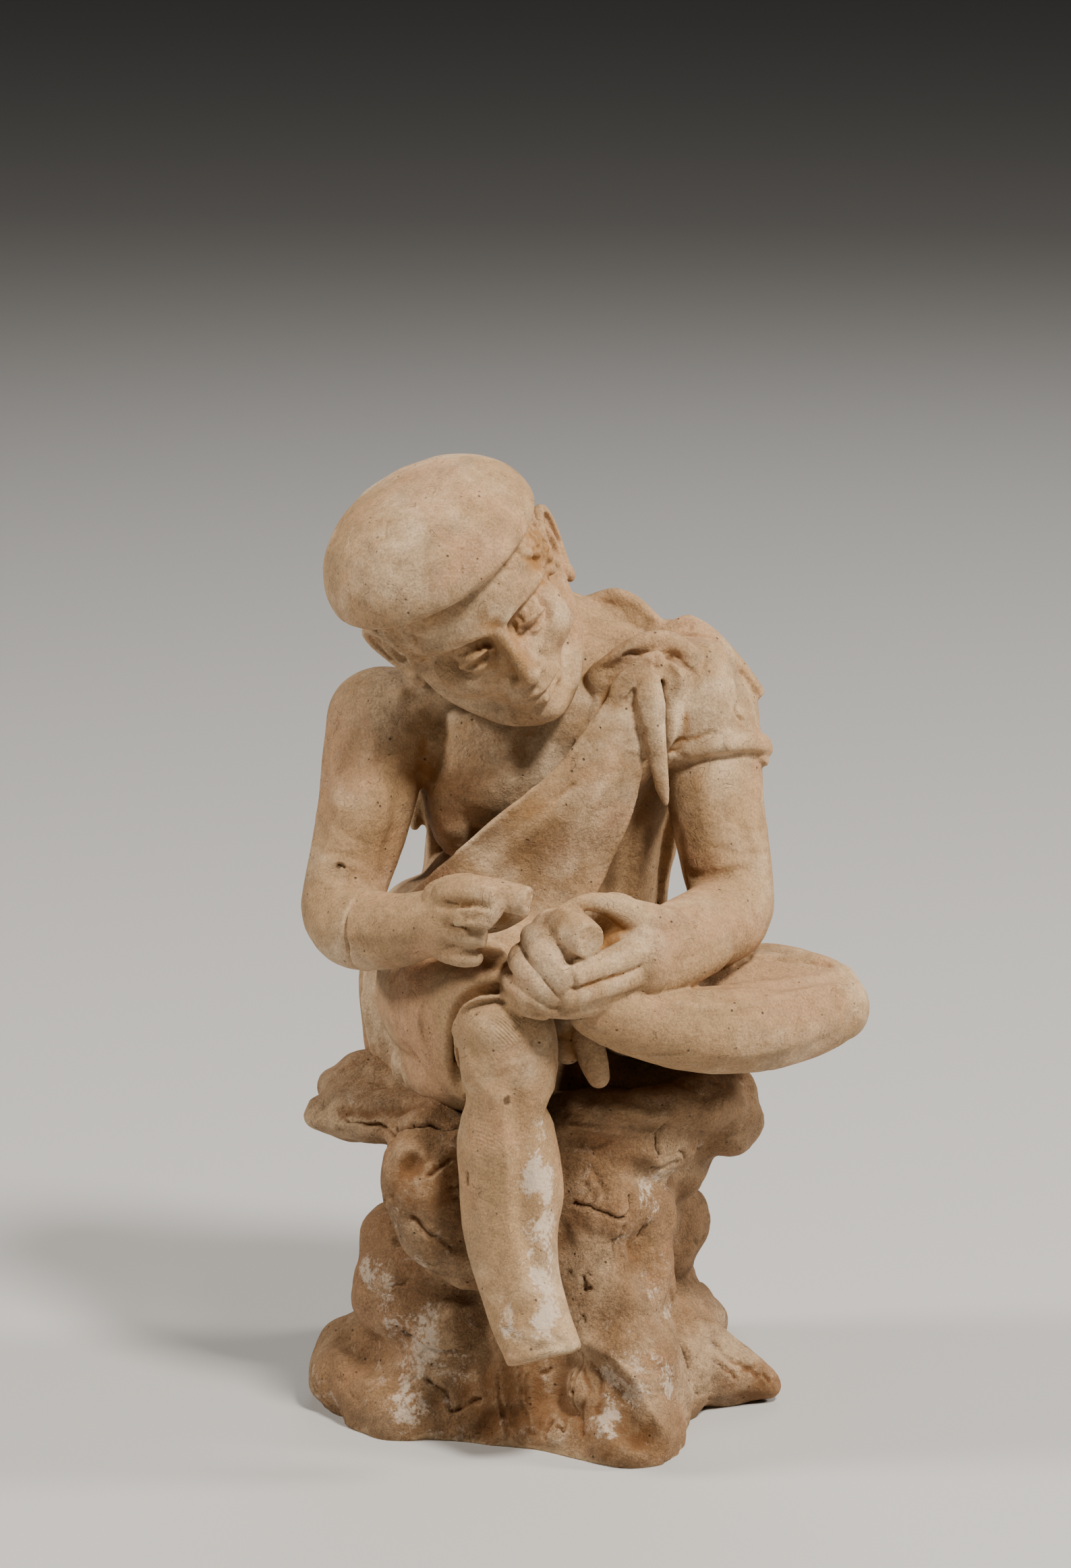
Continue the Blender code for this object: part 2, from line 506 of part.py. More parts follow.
# Folds of the tunic: from the left shoulder across the back, and down the band over the chest
FOLD_LINES = [
    *[([(26 - s, 19 + s * 0.2, 150 - s), (14 - s, 28, 134 - s), (-4 - s * 0.8, 33, 112 - s * 0.8),
        (-20 - s * 0.5, 33, 92 - s * 0.4), (-28, 28, 74)], 4.4, depth)
      for s, depth in ((-7, -1.2), (-1, 1.4), (5, -1.4), (11, 1.3), (17, -1.2))],
    *[([(18 - s, 34, 112 - s), (14 - s, 36, 92), (12 - s * 1.2, 36, 73)], 4, depth)
      for s, depth in ((-6, 1.1), (0, -1.2), (6, 1.3), (12, -1.2))],
    ([(20, -18, 156), (12, -23, 142), (-2, -24, 128), (-14, -22, 117)], 3.4, -1.1),
    ([(22, -18, 152), (17, -21, 138), (6, -23, 124), (-4, -23, 112)], 4, 1.1),
    ([(13, -22, 144), (5, -23, 136)], 1.8, -1.2),
    ([(-37, -6, 98), (-36, -8, 86), (-33, -8, 74)], 3.4, 1.2),
    ([(-39, 2, 92), (-37.6, 2, 82), (-34, 2, 72)], 3, 1.2),
    ([(-28, -17, 100), (-25, -24, 90), (-24, -26, 80)], 4, 1.1),
    ([(-24, -24, 104), (-16, -34, 104), (-8, -40, 105)], 3, -0.8),
    ([(30, -8, 158), (34, -10, 150), (35, -12, 147)], 3, 0.7),
    ([(44, -4, 157), (46, -4, 150)], 3, 0.6),
]


# The rock

def rock(clay):
    """The rough rock: a spreading foot, a waist and an overhanging seat."""
    limb(clay, [(-2, 5, -6, 36, 36), (-2, 5, 8, 35, 34), (-2, 4, 20, 30, 31), (-2, 2, 32, 27, 31),
                (-2, 1, 43, 28.6, 33),
                (0, 1, 53, 33, 35), (0, 1, 62, 38, 37),
                (0, 1, 68, 38, 36)], round_ends=(False, False), sides=28)
    limb(clay, [(-18, -10, 64.4, 22, 8), (-33, -10, 65, 17, 7.6), (-43, -10, 64.4, 12, 6.4),
                (-47, -10.4, 64, 8, 4.6)],
         side=(0, 1, 0))
    limb(clay, [(-20, -29, 62, 13, 9), (-24, -34, 56, 10.6, 9), (-22, -35, 47, 9, 8.4),
                (-16, -33, 38, 7, 8)])
    ball(clay, (38.4, -8, 63), (9.6, 12, 10.2))
    ball(clay, (26, -6, 53), (11, 14, 11))
    ball(clay, (19, -6, 42), (11, 16, 15))
    ball(clay, (14, -20, 61), (21, 17.5, 11))
    ball(clay, (-8, -28, 58), (13, 15, 13))
    ball(clay, (-6, -24, 42), (13, 17, 18))
    ball(clay, (13, -20, 48), (16, 20, 19))
    ball(clay, (13, -24, 31), (16, 19, 18))
    ball(clay, (17, -33, 15), (14, 19, 15))
    ball(clay, (19, -40, 3), (12.4, 18.4, 13))
    ball(clay, (-27, -19, 28), (13.4, 14, 14.4))
    ball(clay, (-31, -13, 37), (9, 11, 9))
    ball(clay, (-19, -26, 19), (13, 10, 11), (0, 30, 0))
    ball(clay, (-34.8, -9, 6), (15.4, 20, 14))
    ball(clay, (-26, -25, 3), (17, 14, 14))
    limb(clay, [(-26, -30, 1, 9, 8), (-12, -33, 0, 8, 8), (2, -38, 0, 8, 8), (12, -44, 0, 8, 9),
                (19, -47, 0, 8, 9)],
         side=(0, 0.3, 1))
    limb(clay, [(16, -8, 16, 14, 13), (29, -9, 10.4, 12, 11), (38, -10, 7, 10, 9), (45, -10, 5, 8, 6.6),
                (48.4, -10.4, 4.4, 5, 4)],
         side=(0, 1, 0))
    ball(clay, (24, -22, 7), (13, 15, 14))
    ball(clay, (26.4, 10, 33), (10, 14, 12.4))
    ball(clay, (25, 12, 8), (16, 20, 15))
    ball(clay, (-14, 29, 7), (25, 16, 18))
    ball(clay, (16, 28, 11), (20, 17, 18))
    ball(clay, (2, 26, 45), (28, 15, 21))
    ball(clay, (-23, 20, 34), (11, 16, 15))


ROCK_LINES = [
    ([(27, -34, 38)], 9, 3.6),
    ([(28, -20, 66), (27, -22, 60), (26, -24, 56)], 3.4, 3.4),
    ([(-25, -43, 57)], 4.4, 2.2),
    ([(-16, -42, 44)], 3, 2),
    ([(-44, -22, 68), (-32, -24, 68), (-20, -30, 70)], 2, 1.6),
    ([(-36, -22, 58), (-30, -28, 52), (-30, -28, 44)], 4, 2),
    ([(-8, -32, 16)], 11, 4),
    ([(5, -35, 14)], 9, 3),
    *[([(x, -38, 16), (x + 1, -42, 4)], 2.4, 1.5) for x in (-12, -7, -1, 6, 11)],
    ([(30, -30, 18), (30, -27, 8), (30, -24, 0)], 5, 2.4),
    ([(8, -38, 46), (16, -38, 44), (20, -38, 42)], 1.8, 1.2),
    ([(8, -39, 56), (16, -38, 53), (22, -34, 50)], 1.8, 1),
    ([(10, -44, 24), (15, -44, 26)], 2.2, 1.4),
    ([(-44, -18, 20), (-34, -32, 14), (-22, -36, 8)], 4, 1.8),
]


# The whole statue

def part_of(forms, grain, rounds, lines=()):
    """One group of forms as a mesh of its own, worked, smoothed and carved."""
    clay = bmesh.new()
    forms(clay)
    mesh = worked(clay, forms.__name__, grain, rounds)
    carve(mesh, lines)
    return mesh


def figure():
    """The seated man, in drawn millimetres."""
    groups = [
        (flesh, FLESH_ROUNDS, BODY_LINES, None),
        (grips, HAND_ROUNDS, (), None),
        (dress, CLOTH_ROUNDS, FOLD_LINES, None),
        (face, HEAD_ROUNDS, FACE_LINES, head_place()),
        (bonnet, HEAD_ROUNDS, (), head_place()),
    ]
    whole = bmesh.new()
    for forms, rounds, lines, stand in groups:
        mesh = part_of(forms, FIGURE_GRAIN, rounds, lines)
        if stand:
            mesh.transform(stand)
        whole.from_mesh(mesh)
        bpy.data.meshes.remove(mesh)
    return whole


def stone():
    """The rock, in drawn millimetres."""
    mesh = part_of(rock, CLAY_GRAIN, ROCK_ROUNDS, ROCK_LINES)
    roughened(mesh, ROCK_LUMPS)
    clay = bmesh.new()
    clay.from_mesh(mesh)
    bpy.data.meshes.remove(mesh)
    return clay


def terracotta():
    """Unglazed clay, fired to a warm buff."""
    material = bpy.data.materials.new("terracotta")
    material.use_nodes = True
    shader = material.node_tree.nodes["Principled BSDF"]
    shader.inputs["Base Color"].default_value = (0.53, 0.37, 0.25, 1)
    shader.inputs["Roughness"].default_value = 0.86
    shader.inputs["Metallic"].default_value = 0.0
    return material


def thinned(mesh, triangles):
    """The same surface in about this many triangles, most of them where it bends most."""
    body = bpy.data.objects.new("thinned", mesh)
    bpy.context.scene.collection.objects.link(body)
    fewer = body.modifiers.new("fewer", "DECIMATE")
    fewer.ratio = triangles / (2 * len(mesh.polygons))
    graph = bpy.context.evaluated_depsgraph_get()
    done = bpy.data.meshes.new_from_object(body.evaluated_get(graph))
    bpy.data.objects.remove(body)
    return done


def stood_flat(mesh):
    """Cuts the underside off level at height 0."""
    clay = bmesh.new()
    clay.from_mesh(mesh)
    geometry = clay.verts[:] + clay.edges[:] + clay.faces[:]
    cut = bmesh.ops.bisect_plane(clay, geom=geometry, plane_co=(0, 0, 0), plane_no=(0, 0, -1),
                                 clear_outer=True)
    rim = [item for item in cut["geom_cut"] if isinstance(item, bmesh.types.BMEdge)]
    bmesh.ops.holes_fill(clay, edges=rim, sides=0)
    bmesh.ops.triangulate(clay, faces=clay.faces[:])
    clay.to_mesh(mesh)
    clay.free()


def statue():
    """Man and rock, fired as one piece."""
    whole = figure()
    shrink = Matrix.Scale(FIGURE_SCALE, 4)
    place = Matrix.Translation((0, 0, SEAT_HEIGHT)) @ shrink @ Matrix.Translation((0, 0, -DRAWN_SEAT))
    bmesh.ops.transform(whole, matrix=place, verts=whole.verts)
    seat = stone()
    sizes = (ROCK_WIDTH / DRAWN_ROCK_WIDTH, ROCK_DEPTH / DRAWN_ROCK_DEPTH, SEAT_HEIGHT / DRAWN_SEAT)
    bmesh.ops.transform(seat, matrix=Matrix.Diagonal((*sizes, 1)), verts=seat.verts)
    put(whole, seat)
    mesh = worked(whole, "whole", CLAY_GRAIN * FIGURE_SCALE, 1)
    largest_shell(mesh)
    mesh = thinned(mesh, TRIANGLES)
    stood_flat(mesh)
    mesh.materials.append(terracotta())
    mesh.shade_smooth()
    mesh.set_sharp_from_angle(angle=math.radians(50))
    piece = bpy.data.objects.new("seated_man_on_rock", mesh)
    bpy.context.scene.collection.objects.link(piece)


def main():
    for old in list(bpy.data.objects):
        bpy.data.objects.remove(old)
    statue()


main()
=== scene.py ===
# Looks of the terracotta statue: the finely worked clay, its fired surface, floor, light and camera
import math

import bmesh
import bpy
import numpy as np
from mathutils import Euler, Matrix, Vector, noise
from mathutils.bvhtree import BVHTree
from mathutils.kdtree import KDTree


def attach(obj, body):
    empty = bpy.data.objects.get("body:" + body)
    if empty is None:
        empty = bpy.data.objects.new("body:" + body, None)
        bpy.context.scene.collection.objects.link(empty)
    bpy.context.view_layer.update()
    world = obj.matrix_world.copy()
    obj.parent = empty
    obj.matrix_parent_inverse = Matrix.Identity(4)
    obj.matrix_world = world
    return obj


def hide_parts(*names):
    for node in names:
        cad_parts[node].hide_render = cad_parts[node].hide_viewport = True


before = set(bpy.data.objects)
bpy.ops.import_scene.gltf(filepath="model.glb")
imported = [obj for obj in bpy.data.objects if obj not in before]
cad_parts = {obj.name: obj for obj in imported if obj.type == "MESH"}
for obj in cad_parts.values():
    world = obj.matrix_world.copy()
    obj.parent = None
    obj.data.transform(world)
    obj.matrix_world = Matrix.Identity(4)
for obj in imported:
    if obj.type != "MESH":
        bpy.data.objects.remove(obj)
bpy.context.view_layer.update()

millimetre = 0.001
curveSteps = 5  # points from one station of a limb or sheet to the next
strokeSteps = 6  # and from one point of a stroke to the next
thinnest = 0.2  # no limb gets thinner than this
nearlyAlong = 0.05  # a side direction this close to the limb's own is replaced
flat = (0, 0, 0)
tipAngles = (30, 52, 70, 84)  # rings of a limb's rounded end, in degrees
bendShare = 0.3  # how far a scattered stroke bends, as a share of its length
octaves = 2  # layers of noise in the lumps


# Tools for the clay. All forms are drawn in millimetres and made metres at the end.

def flowing(rows, steps):
    # rows of numbers with steps in between, on a smooth curve through all of them
    rows = [np.array(row, float) for row in rows]
    ends = [2 * rows[0] - rows[1], *rows, 2 * rows[-1] - rows[-2]]
    made = []
    for before, a, b, after in zip(ends, ends[1:], ends[2:], ends[3:]):
        for t in np.arange(steps) / steps:
            straight = (b - before) * t
            bend = (2 * before - 5 * a + 4 * b - after) * t**2
            twist = (3 * a - before - 3 * b + after) * t**3
            made.append(a + (straight + bend + twist) / 2)
    return made + [rows[-1]]


def addTo(clay, piece):
    bmesh.ops.recalc_face_normals(piece, faces=piece.faces)
    kept = bpy.data.meshes.new("piece")
    piece.to_mesh(kept)
    piece.free()
    clay.from_mesh(kept)
    bpy.data.meshes.remove(kept)


def limb(clay, stations, side=(1, 0, 0), roundEnds=(True, True), sides=20, steps=curveSteps):
    # a rounded bar through stations (x, y, z, half width, half depth), its width along side
    rows = flowing([(*s, s[3]) if len(s) == 4 else s for s in stations], steps)
    places = [Vector(row[:3]) for row in rows]
    rings = []
    for i, (place, row) in enumerate(zip(places, rows)):
        along = (places[min(i + 1, len(rows) - 1)] - places[max(i - 1, 0)]).normalized()
        rings.append((place, along, max(row[3], thinnest), max(row[4], thinnest)))
    for end, way in ((0, -1), (-1, 1)):
        if roundEnds[end]:
            place, along, wide, deep = rings[end]
            tip = []
            for angle in tipAngles:
                out = along * way * min(wide, deep) * math.sin(math.radians(angle))
                less = math.cos(math.radians(angle))
                tip.append((place + out, along, wide * less, deep * less))
            rings = tip[::-1] + rings if end == 0 else rings + tip
    piece = bmesh.new()
    loops = []
    for place, along, wide, deep in rings:
        across = Vector(side) - along * along.dot(Vector(side))
        across = along.orthogonal() if across.length < nearlyAlong else across.normalized()
        turn = Matrix((across * wide, along.cross(across) * deep, along)).transposed().to_4x4()
        turn.translation = place
        made = bmesh.ops.create_circle(piece, segments=sides, radius=1, matrix=turn)
        loops.append(made["verts"])
    for low, high in zip(loops, loops[1:]):
        edges = {edge for vert in low + high for edge in vert.link_edges if edge.is_wire or edge.is_boundary}
        bmesh.ops.bridge_loops(piece, edges=list(edges))
    for loop in (loops[0], loops[-1]):
        piece.faces.new(loop)
    addTo(clay, piece)


def ball(clay, centre, radii, turn=flat):
    # an ellipsoid with these half axes, turned by angles in degrees
    spin = Euler([math.radians(a) for a in turn]).to_matrix().to_4x4()
    place = Matrix.Translation(centre) @ spin @ Matrix.Diagonal((*radii, 1))
    piece = bmesh.new()
    bmesh.ops.create_icosphere(piece, subdivisions=4, radius=1, matrix=place)
    addTo(clay, piece)


def sheet(clay, rows, thickness):
    # a sheet of cloth through rows of points, half its thickness to each side
    across = [flowing(row, curveSteps) for row in rows]
    columns = [flowing(column, curveSteps) for column in zip(*across)]
    piece = bmesh.new()
    bmesh.ops.create_grid(piece, x_segments=len(columns) - 1, y_segments=len(columns[0]) - 1, size=1)
    order = sorted(piece.verts, key=lambda vert: (round(vert.co.x, 4), round(vert.co.y, 4)))
    for vert, point in zip(order, [point for column in columns for point in column]):
        vert.co = Vector(point)
    piece.normal_update()
    normals = {vert.co.to_tuple(5): vert.normal * (thickness / 2) for vert in piece.verts}
    upper = bmesh.ops.extrude_face_region(piece, geom=piece.faces[:], use_keep_orig=True)
    moved = {item for item in upper["geom"] if isinstance(item, bmesh.types.BMVert)}
    for vert in piece.verts:
        half = normals[vert.co.to_tuple(5)]
        vert.co += half if vert in moved else -half
    addTo(clay, piece)


def wrap(clay, stations, thickness, points):
    # cloth round an axis, from level arcs (x, y, z, half width, half depth, first angle, last angle)
    rows = []
    for x, y, z, wide, deep, first, last in stations:
        angles = np.radians(np.linspace(first, last, points))
        rows.append([(x + wide * math.cos(a), y + deep * math.sin(a), z) for a in angles])
    sheet(clay, rows, thickness)


def pressed(mesh, name, grain=0, rounds=0, triangles=0):
    # the same clay as one surface of this grain, smoothed, in about this many triangles
    body = bpy.data.objects.new(name, mesh)
    bpy.context.scene.collection.objects.link(body)
    if grain:
        remesh = body.modifiers.new("pressed", "REMESH")
        remesh.mode = "VOXEL"
        remesh.voxel_size = grain
    if rounds:
        soft = body.modifiers.new("softened", "SMOOTH")
        soft.iterations = rounds
    if triangles:
        fewer = body.modifiers.new("fewer", "DECIMATE")
        fewer.ratio = min(1, triangles / sum(len(face.vertices) - 2 for face in mesh.polygons))
    graph = bpy.context.evaluated_depsgraph_get()
    done = bpy.data.meshes.new_from_object(body.evaluated_get(graph))
    bpy.data.objects.remove(body)
    bpy.data.meshes.remove(mesh)
    return done


def worked(shapes, grain, rounds, strokes=()):
    # forms pressed into one surface, smoothed, and then drawn on
    clay = bmesh.new()
    for shape in shapes:
        shape(clay)
    mesh = bpy.data.meshes.new(shapes[0].__name__)
    clay.to_mesh(mesh)
    clay.free()
    mesh = pressed(mesh, mesh.name, grain, rounds)
    if strokes:
        carve(mesh, strokes)
    return mesh


def together(meshes, grain, rounds):
    # several surfaces as one
    clay = bmesh.new()
    for mesh in meshes:
        clay.from_mesh(mesh)
        bpy.data.meshes.remove(mesh)
    whole = bpy.data.meshes.new("together")
    clay.to_mesh(whole)
    clay.free()
    return pressed(whole, "together", grain, rounds)


def readSpots(mesh):
    spots = np.empty(len(mesh.vertices) * 3)
    mesh.vertices.foreach_get("co", spots)
    return spots.reshape(-1, 3)


def readNormals(mesh):
    normals = np.empty(len(mesh.vertices) * 3, np.float32)
    mesh.vertices.foreach_get("normal", normals)
    return normals.reshape(-1, 3).astype(float)


def writeSpots(mesh, spots):
    mesh.vertices.foreach_set("co", spots.ravel())
    mesh.update()


def treeOf(spots):
    tree = KDTree(len(spots))
    for i, spot in enumerate(spots):
        tree.insert(spot, i)
    tree.balance()
    return tree


def carve(mesh, strokes):
    # lines drawn in the surface: (points, width, depth), a negative depth raises a ridge
    spots, normals = readSpots(mesh), readNormals(mesh)
    tree = treeOf(spots)
    for path, width, depth in strokes:
        points = flowing(path, strokeSteps) if len(path) > 1 else path
        under = [tree.find(point)[1] for point in points]
        line, sides = spots[under], normals[under]
        reach = width + abs(depth)
        inside = np.all((spots > line.min(0) - reach) & (spots < line.max(0) + reach), axis=1)
        chosen = np.nonzero(inside)[0]
        near, turned = spots[chosen], normals[chosen]
        nearest = np.full(len(near), np.inf)
        facing = np.zeros(len(near))
        for i in range(max(len(line) - 1, 1)):
            a, b = line[i], line[min(i + 1, len(line) - 1)]
            along = b - a
            share = np.clip((near - a) @ along / max(along @ along, 1e-9), 0, 1)
            distance = np.linalg.norm(near - a - share[:, None] * along, axis=1)
            closer = distance < nearest
            nearest[closer] = distance[closer]
            facing[closer] = (turned @ sides[i])[closer]
        strength = np.clip(1 - (nearest / width) ** 2, 0, 1) ** 2 * np.clip(facing * 2, 0, 1)
        spots[chosen] -= turned * (strength * depth)[:, None]
    writeSpots(mesh, spots)


def mirrored(points, way):
    # the same points on the right of the head for 1, on its left for -1
    return [(way * x, *rest) for x, *rest in points]


def bothSides(path, width, depth):
    return [(mirrored(path, way), width, depth) for way in (-1, 1)]


def roughened(mesh, heights, share=None):
    # lumps and creases, as (size, height) pairs, everywhere or by each point's share
    spots, normals = readSpots(mesh), readNormals(mesh)
    raised = np.zeros(len(spots))
    for size, height in heights:
        raised += [height * (noise.turbulence(Vector(spot / size), octaves, True) - 0.5) for spot in spots]
    if share is not None:
        raised *= share
    writeSpots(mesh, spots + normals * raised[:, None])


def uneven(mesh, size, height):
    # the soft unevenness of clay worked by hand
    spots, normals = readSpots(mesh), readNormals(mesh)
    raised = np.array([noise.noise(Vector(spot / size)) for spot in spots]) * height
    writeSpots(mesh, spots + normals * raised[:, None])


def scattered(mesh, seed, count, lengths, widths, depths, lowest=-math.inf):
    # short nicks or tool marks at random places above a height, each along the surface
    spots, normals = readSpots(mesh), readNormals(mesh)
    dice = np.random.default_rng(seed)
    chosen = np.nonzero(spots[:, 2] > lowest)[0]
    strokes = []
    for i in dice.choice(chosen, count):
        way = np.cross(normals[i], dice.normal(size=3))
        way *= dice.uniform(*lengths) / max(np.linalg.norm(way), 1e-6)
        bend = np.cross(normals[i], way) * dice.uniform(-bendShare, bendShare)
        strokes.append(([spots[i] - way / 2, spots[i] + bend, spots[i] + way / 2],
                        dice.uniform(*widths), dice.uniform(*depths)))
    carve(mesh, strokes)


# The bare body

bodyLook = {"grain": 0.6, "rounds": 18, "uneven": (9, 0.35)}


def shapeTorso(clay):
    limb(clay, [(-1, 14, 68, 26, 21), (-1, 14, 84, 27, 22), (0, 14, 100, 22.5, 21),
                (0.5, 12, 116, 21.5, 19.4), (1, 9, 130, 22.5, 19.4), (2, 6, 142, 26, 18.6),
                (2, 4, 152, 24, 15), (3, 4, 159, 15, 11)])
    ball(clay, (-11, -5.4, 139), (14.4, 8, 14), (6, 14, -6))
    ball(clay, (-18.6, -1, 133), (6, 9.4, 15))
    ball(clay, (13, -6, 141), (12, 7, 10), (10, 0, 6))
    ball(clay, (8.4, -6, 148), (9.4, 7.4, 10), (0, 30, 0))
    ball(clay, (-1, 0, 114), (15, 13, 12))
    ball(clay, (-2, 2, 104), (20, 16, 10))
    limb(clay, [(6, 6, 152, 12), (1, 2, 161, 10.5), (-5, -3, 168, 10.5), (-10, -7, 174, 11)])
    limb(clay, [(0, 4, 166, 10), (9, 6.4, 164.6, 8), (18, 6.6, 161.4, 7.2), (30, 4, 155, 7.6)],
         side=(0, 1, 0))
    limb(clay, [(-2, 5, 160, 8), (-16, 3, 154, 7.6), (-30, 1, 149, 9)], side=(0, 1, 0))


def shapeArms(clay):
    ball(clay, (-33.6, 1, 146.4), (12, 12, 12.4))
    limb(clay, [(-34, 0, 147, 11.4, 12), (-35.8, -3, 137, 10.8, 12), (-37.8, -7, 126, 9.9, 11.2),
                (-41, -12, 115, 9, 10), (-41.8, -14.5, 109.5, 8.8, 9.4)])
    ball(clay, (-37.4, -11, 131), (7.6, 8, 11), (-20, 0, 10))
    limb(clay, [(-41.6, -14, 108.4, 9, 8.6), (-38, -23, 107.6, 9.2, 8.8), (-31, -33, 109.4, 8, 8),
                (-24, -41, 112.6, 6.6, 7), (-18, -46, 114.5, 6.5, 7.5)], side=(0.8, 0.6, 0))
    ball(clay, (34.4, 3, 148.2), (11.4, 11.2, 11))
    limb(clay, [(34.8, 3, 148, 10.8, 11), (36, -1, 142, 10.4, 11), (37.2, -6, 130, 10.3, 10.6),
                (39.6, -11, 117, 9.5, 9.8), (41, -13, 110.5, 8.6, 9)])
    ball(clay, (38, -9, 132), (7, 7, 10), (-15, 0, 0))
    limb(clay, [(40.8, -12, 110, 8.6, 8.8), (38, -20, 108.5, 9.4, 9.2), (31, -31, 108, 8.6, 8.4),
                (25, -39, 108, 7.6, 7.2), (19, -44, 107, 7.6, 7.4)], side=(0.8, -0.6, 0))


def shapeLegs(clay):
    # the right leg hangs down and ends in a break above the foot, the left lies across
    limb(clay, [(-18, 16, 84, 15, 14), (-17, -4, 89, 14.5, 13.5), (-13, -26, 92.5, 12.5, 12),
                (-8.8, -42, 93.5, 10.4, 10.4)])
    limb(clay, [(-7.8, -44, 94.5, 9.8, 9.6), (-6.8, -46, 87, 10.6, 9.8), (-6.6, -46, 79.6, 9.8, 9.8),
                (-7.4, -45.6, 74.5, 9, 10.2), (-7, -45, 67.5, 10.4, 11.4), (-6.2, -45.6, 57, 11, 10.8),
                (-6.2, -47.4, 50, 10, 9.8), (-5.6, -49.4, 44, 9.3, 9), (-4, -52, 37, 8.7, 8),
                (-1.8, -54.6, 30.6, 8.3, 7.2), (0, -56.6, 26.5, 8.2, 6.6), (0.7, -57.6, 24.2, 8.3, 6.4)],
         roundEnds=(True, False))
    ball(clay, (-8, -50.6, 92), (7, 5.4, 7))
    limb(clay, [(17, 12, 84, 15, 13), (34, 2, 87.5, 12.5, 11), (50, -9, 90, 11, 10.4),
                (59, -16, 90.5, 9, 9.4)], side=(0.5, 0.8, 0))
    limb(clay, [(60.5, -19, 89.6, 9.2, 8.6), (52, -27, 88.6, 9.2, 9.4), (40, -36, 89, 9, 9.6),
                (29, -42, 90.6, 8, 8.8), (19, -46.5, 93.5, 6.8, 7.6), (12, -48.5, 97, 6.4, 7.4)],
         side=(0.5, 0.8, 0))
    ball(clay, (22, 0, 71), (16, 15, 9))
    limb(clay, [(20, -16, 88, 17, 10), (33, -15, 89.5, 16, 10.4), (45, -16, 90.4, 13, 10),
                (56, -18, 91, 9, 8.6)], side=(0, 1, 0))


def shapeLap(clay):
    # a small plain lobe in the shadow between the thighs
    ball(clay, (6.4, -33, 90), (5, 5, 5.6))
    limb(clay, [(8.4, -35, 90.5, 3.2), (9.8, -37, 86.5, 3.3), (11, -38, 82.5, 3.1), (12, -38.4, 79.4, 2.5)])
    ball(clay, (5.6, -34.5, 85.4), (3.6, 3.2, 4.4))


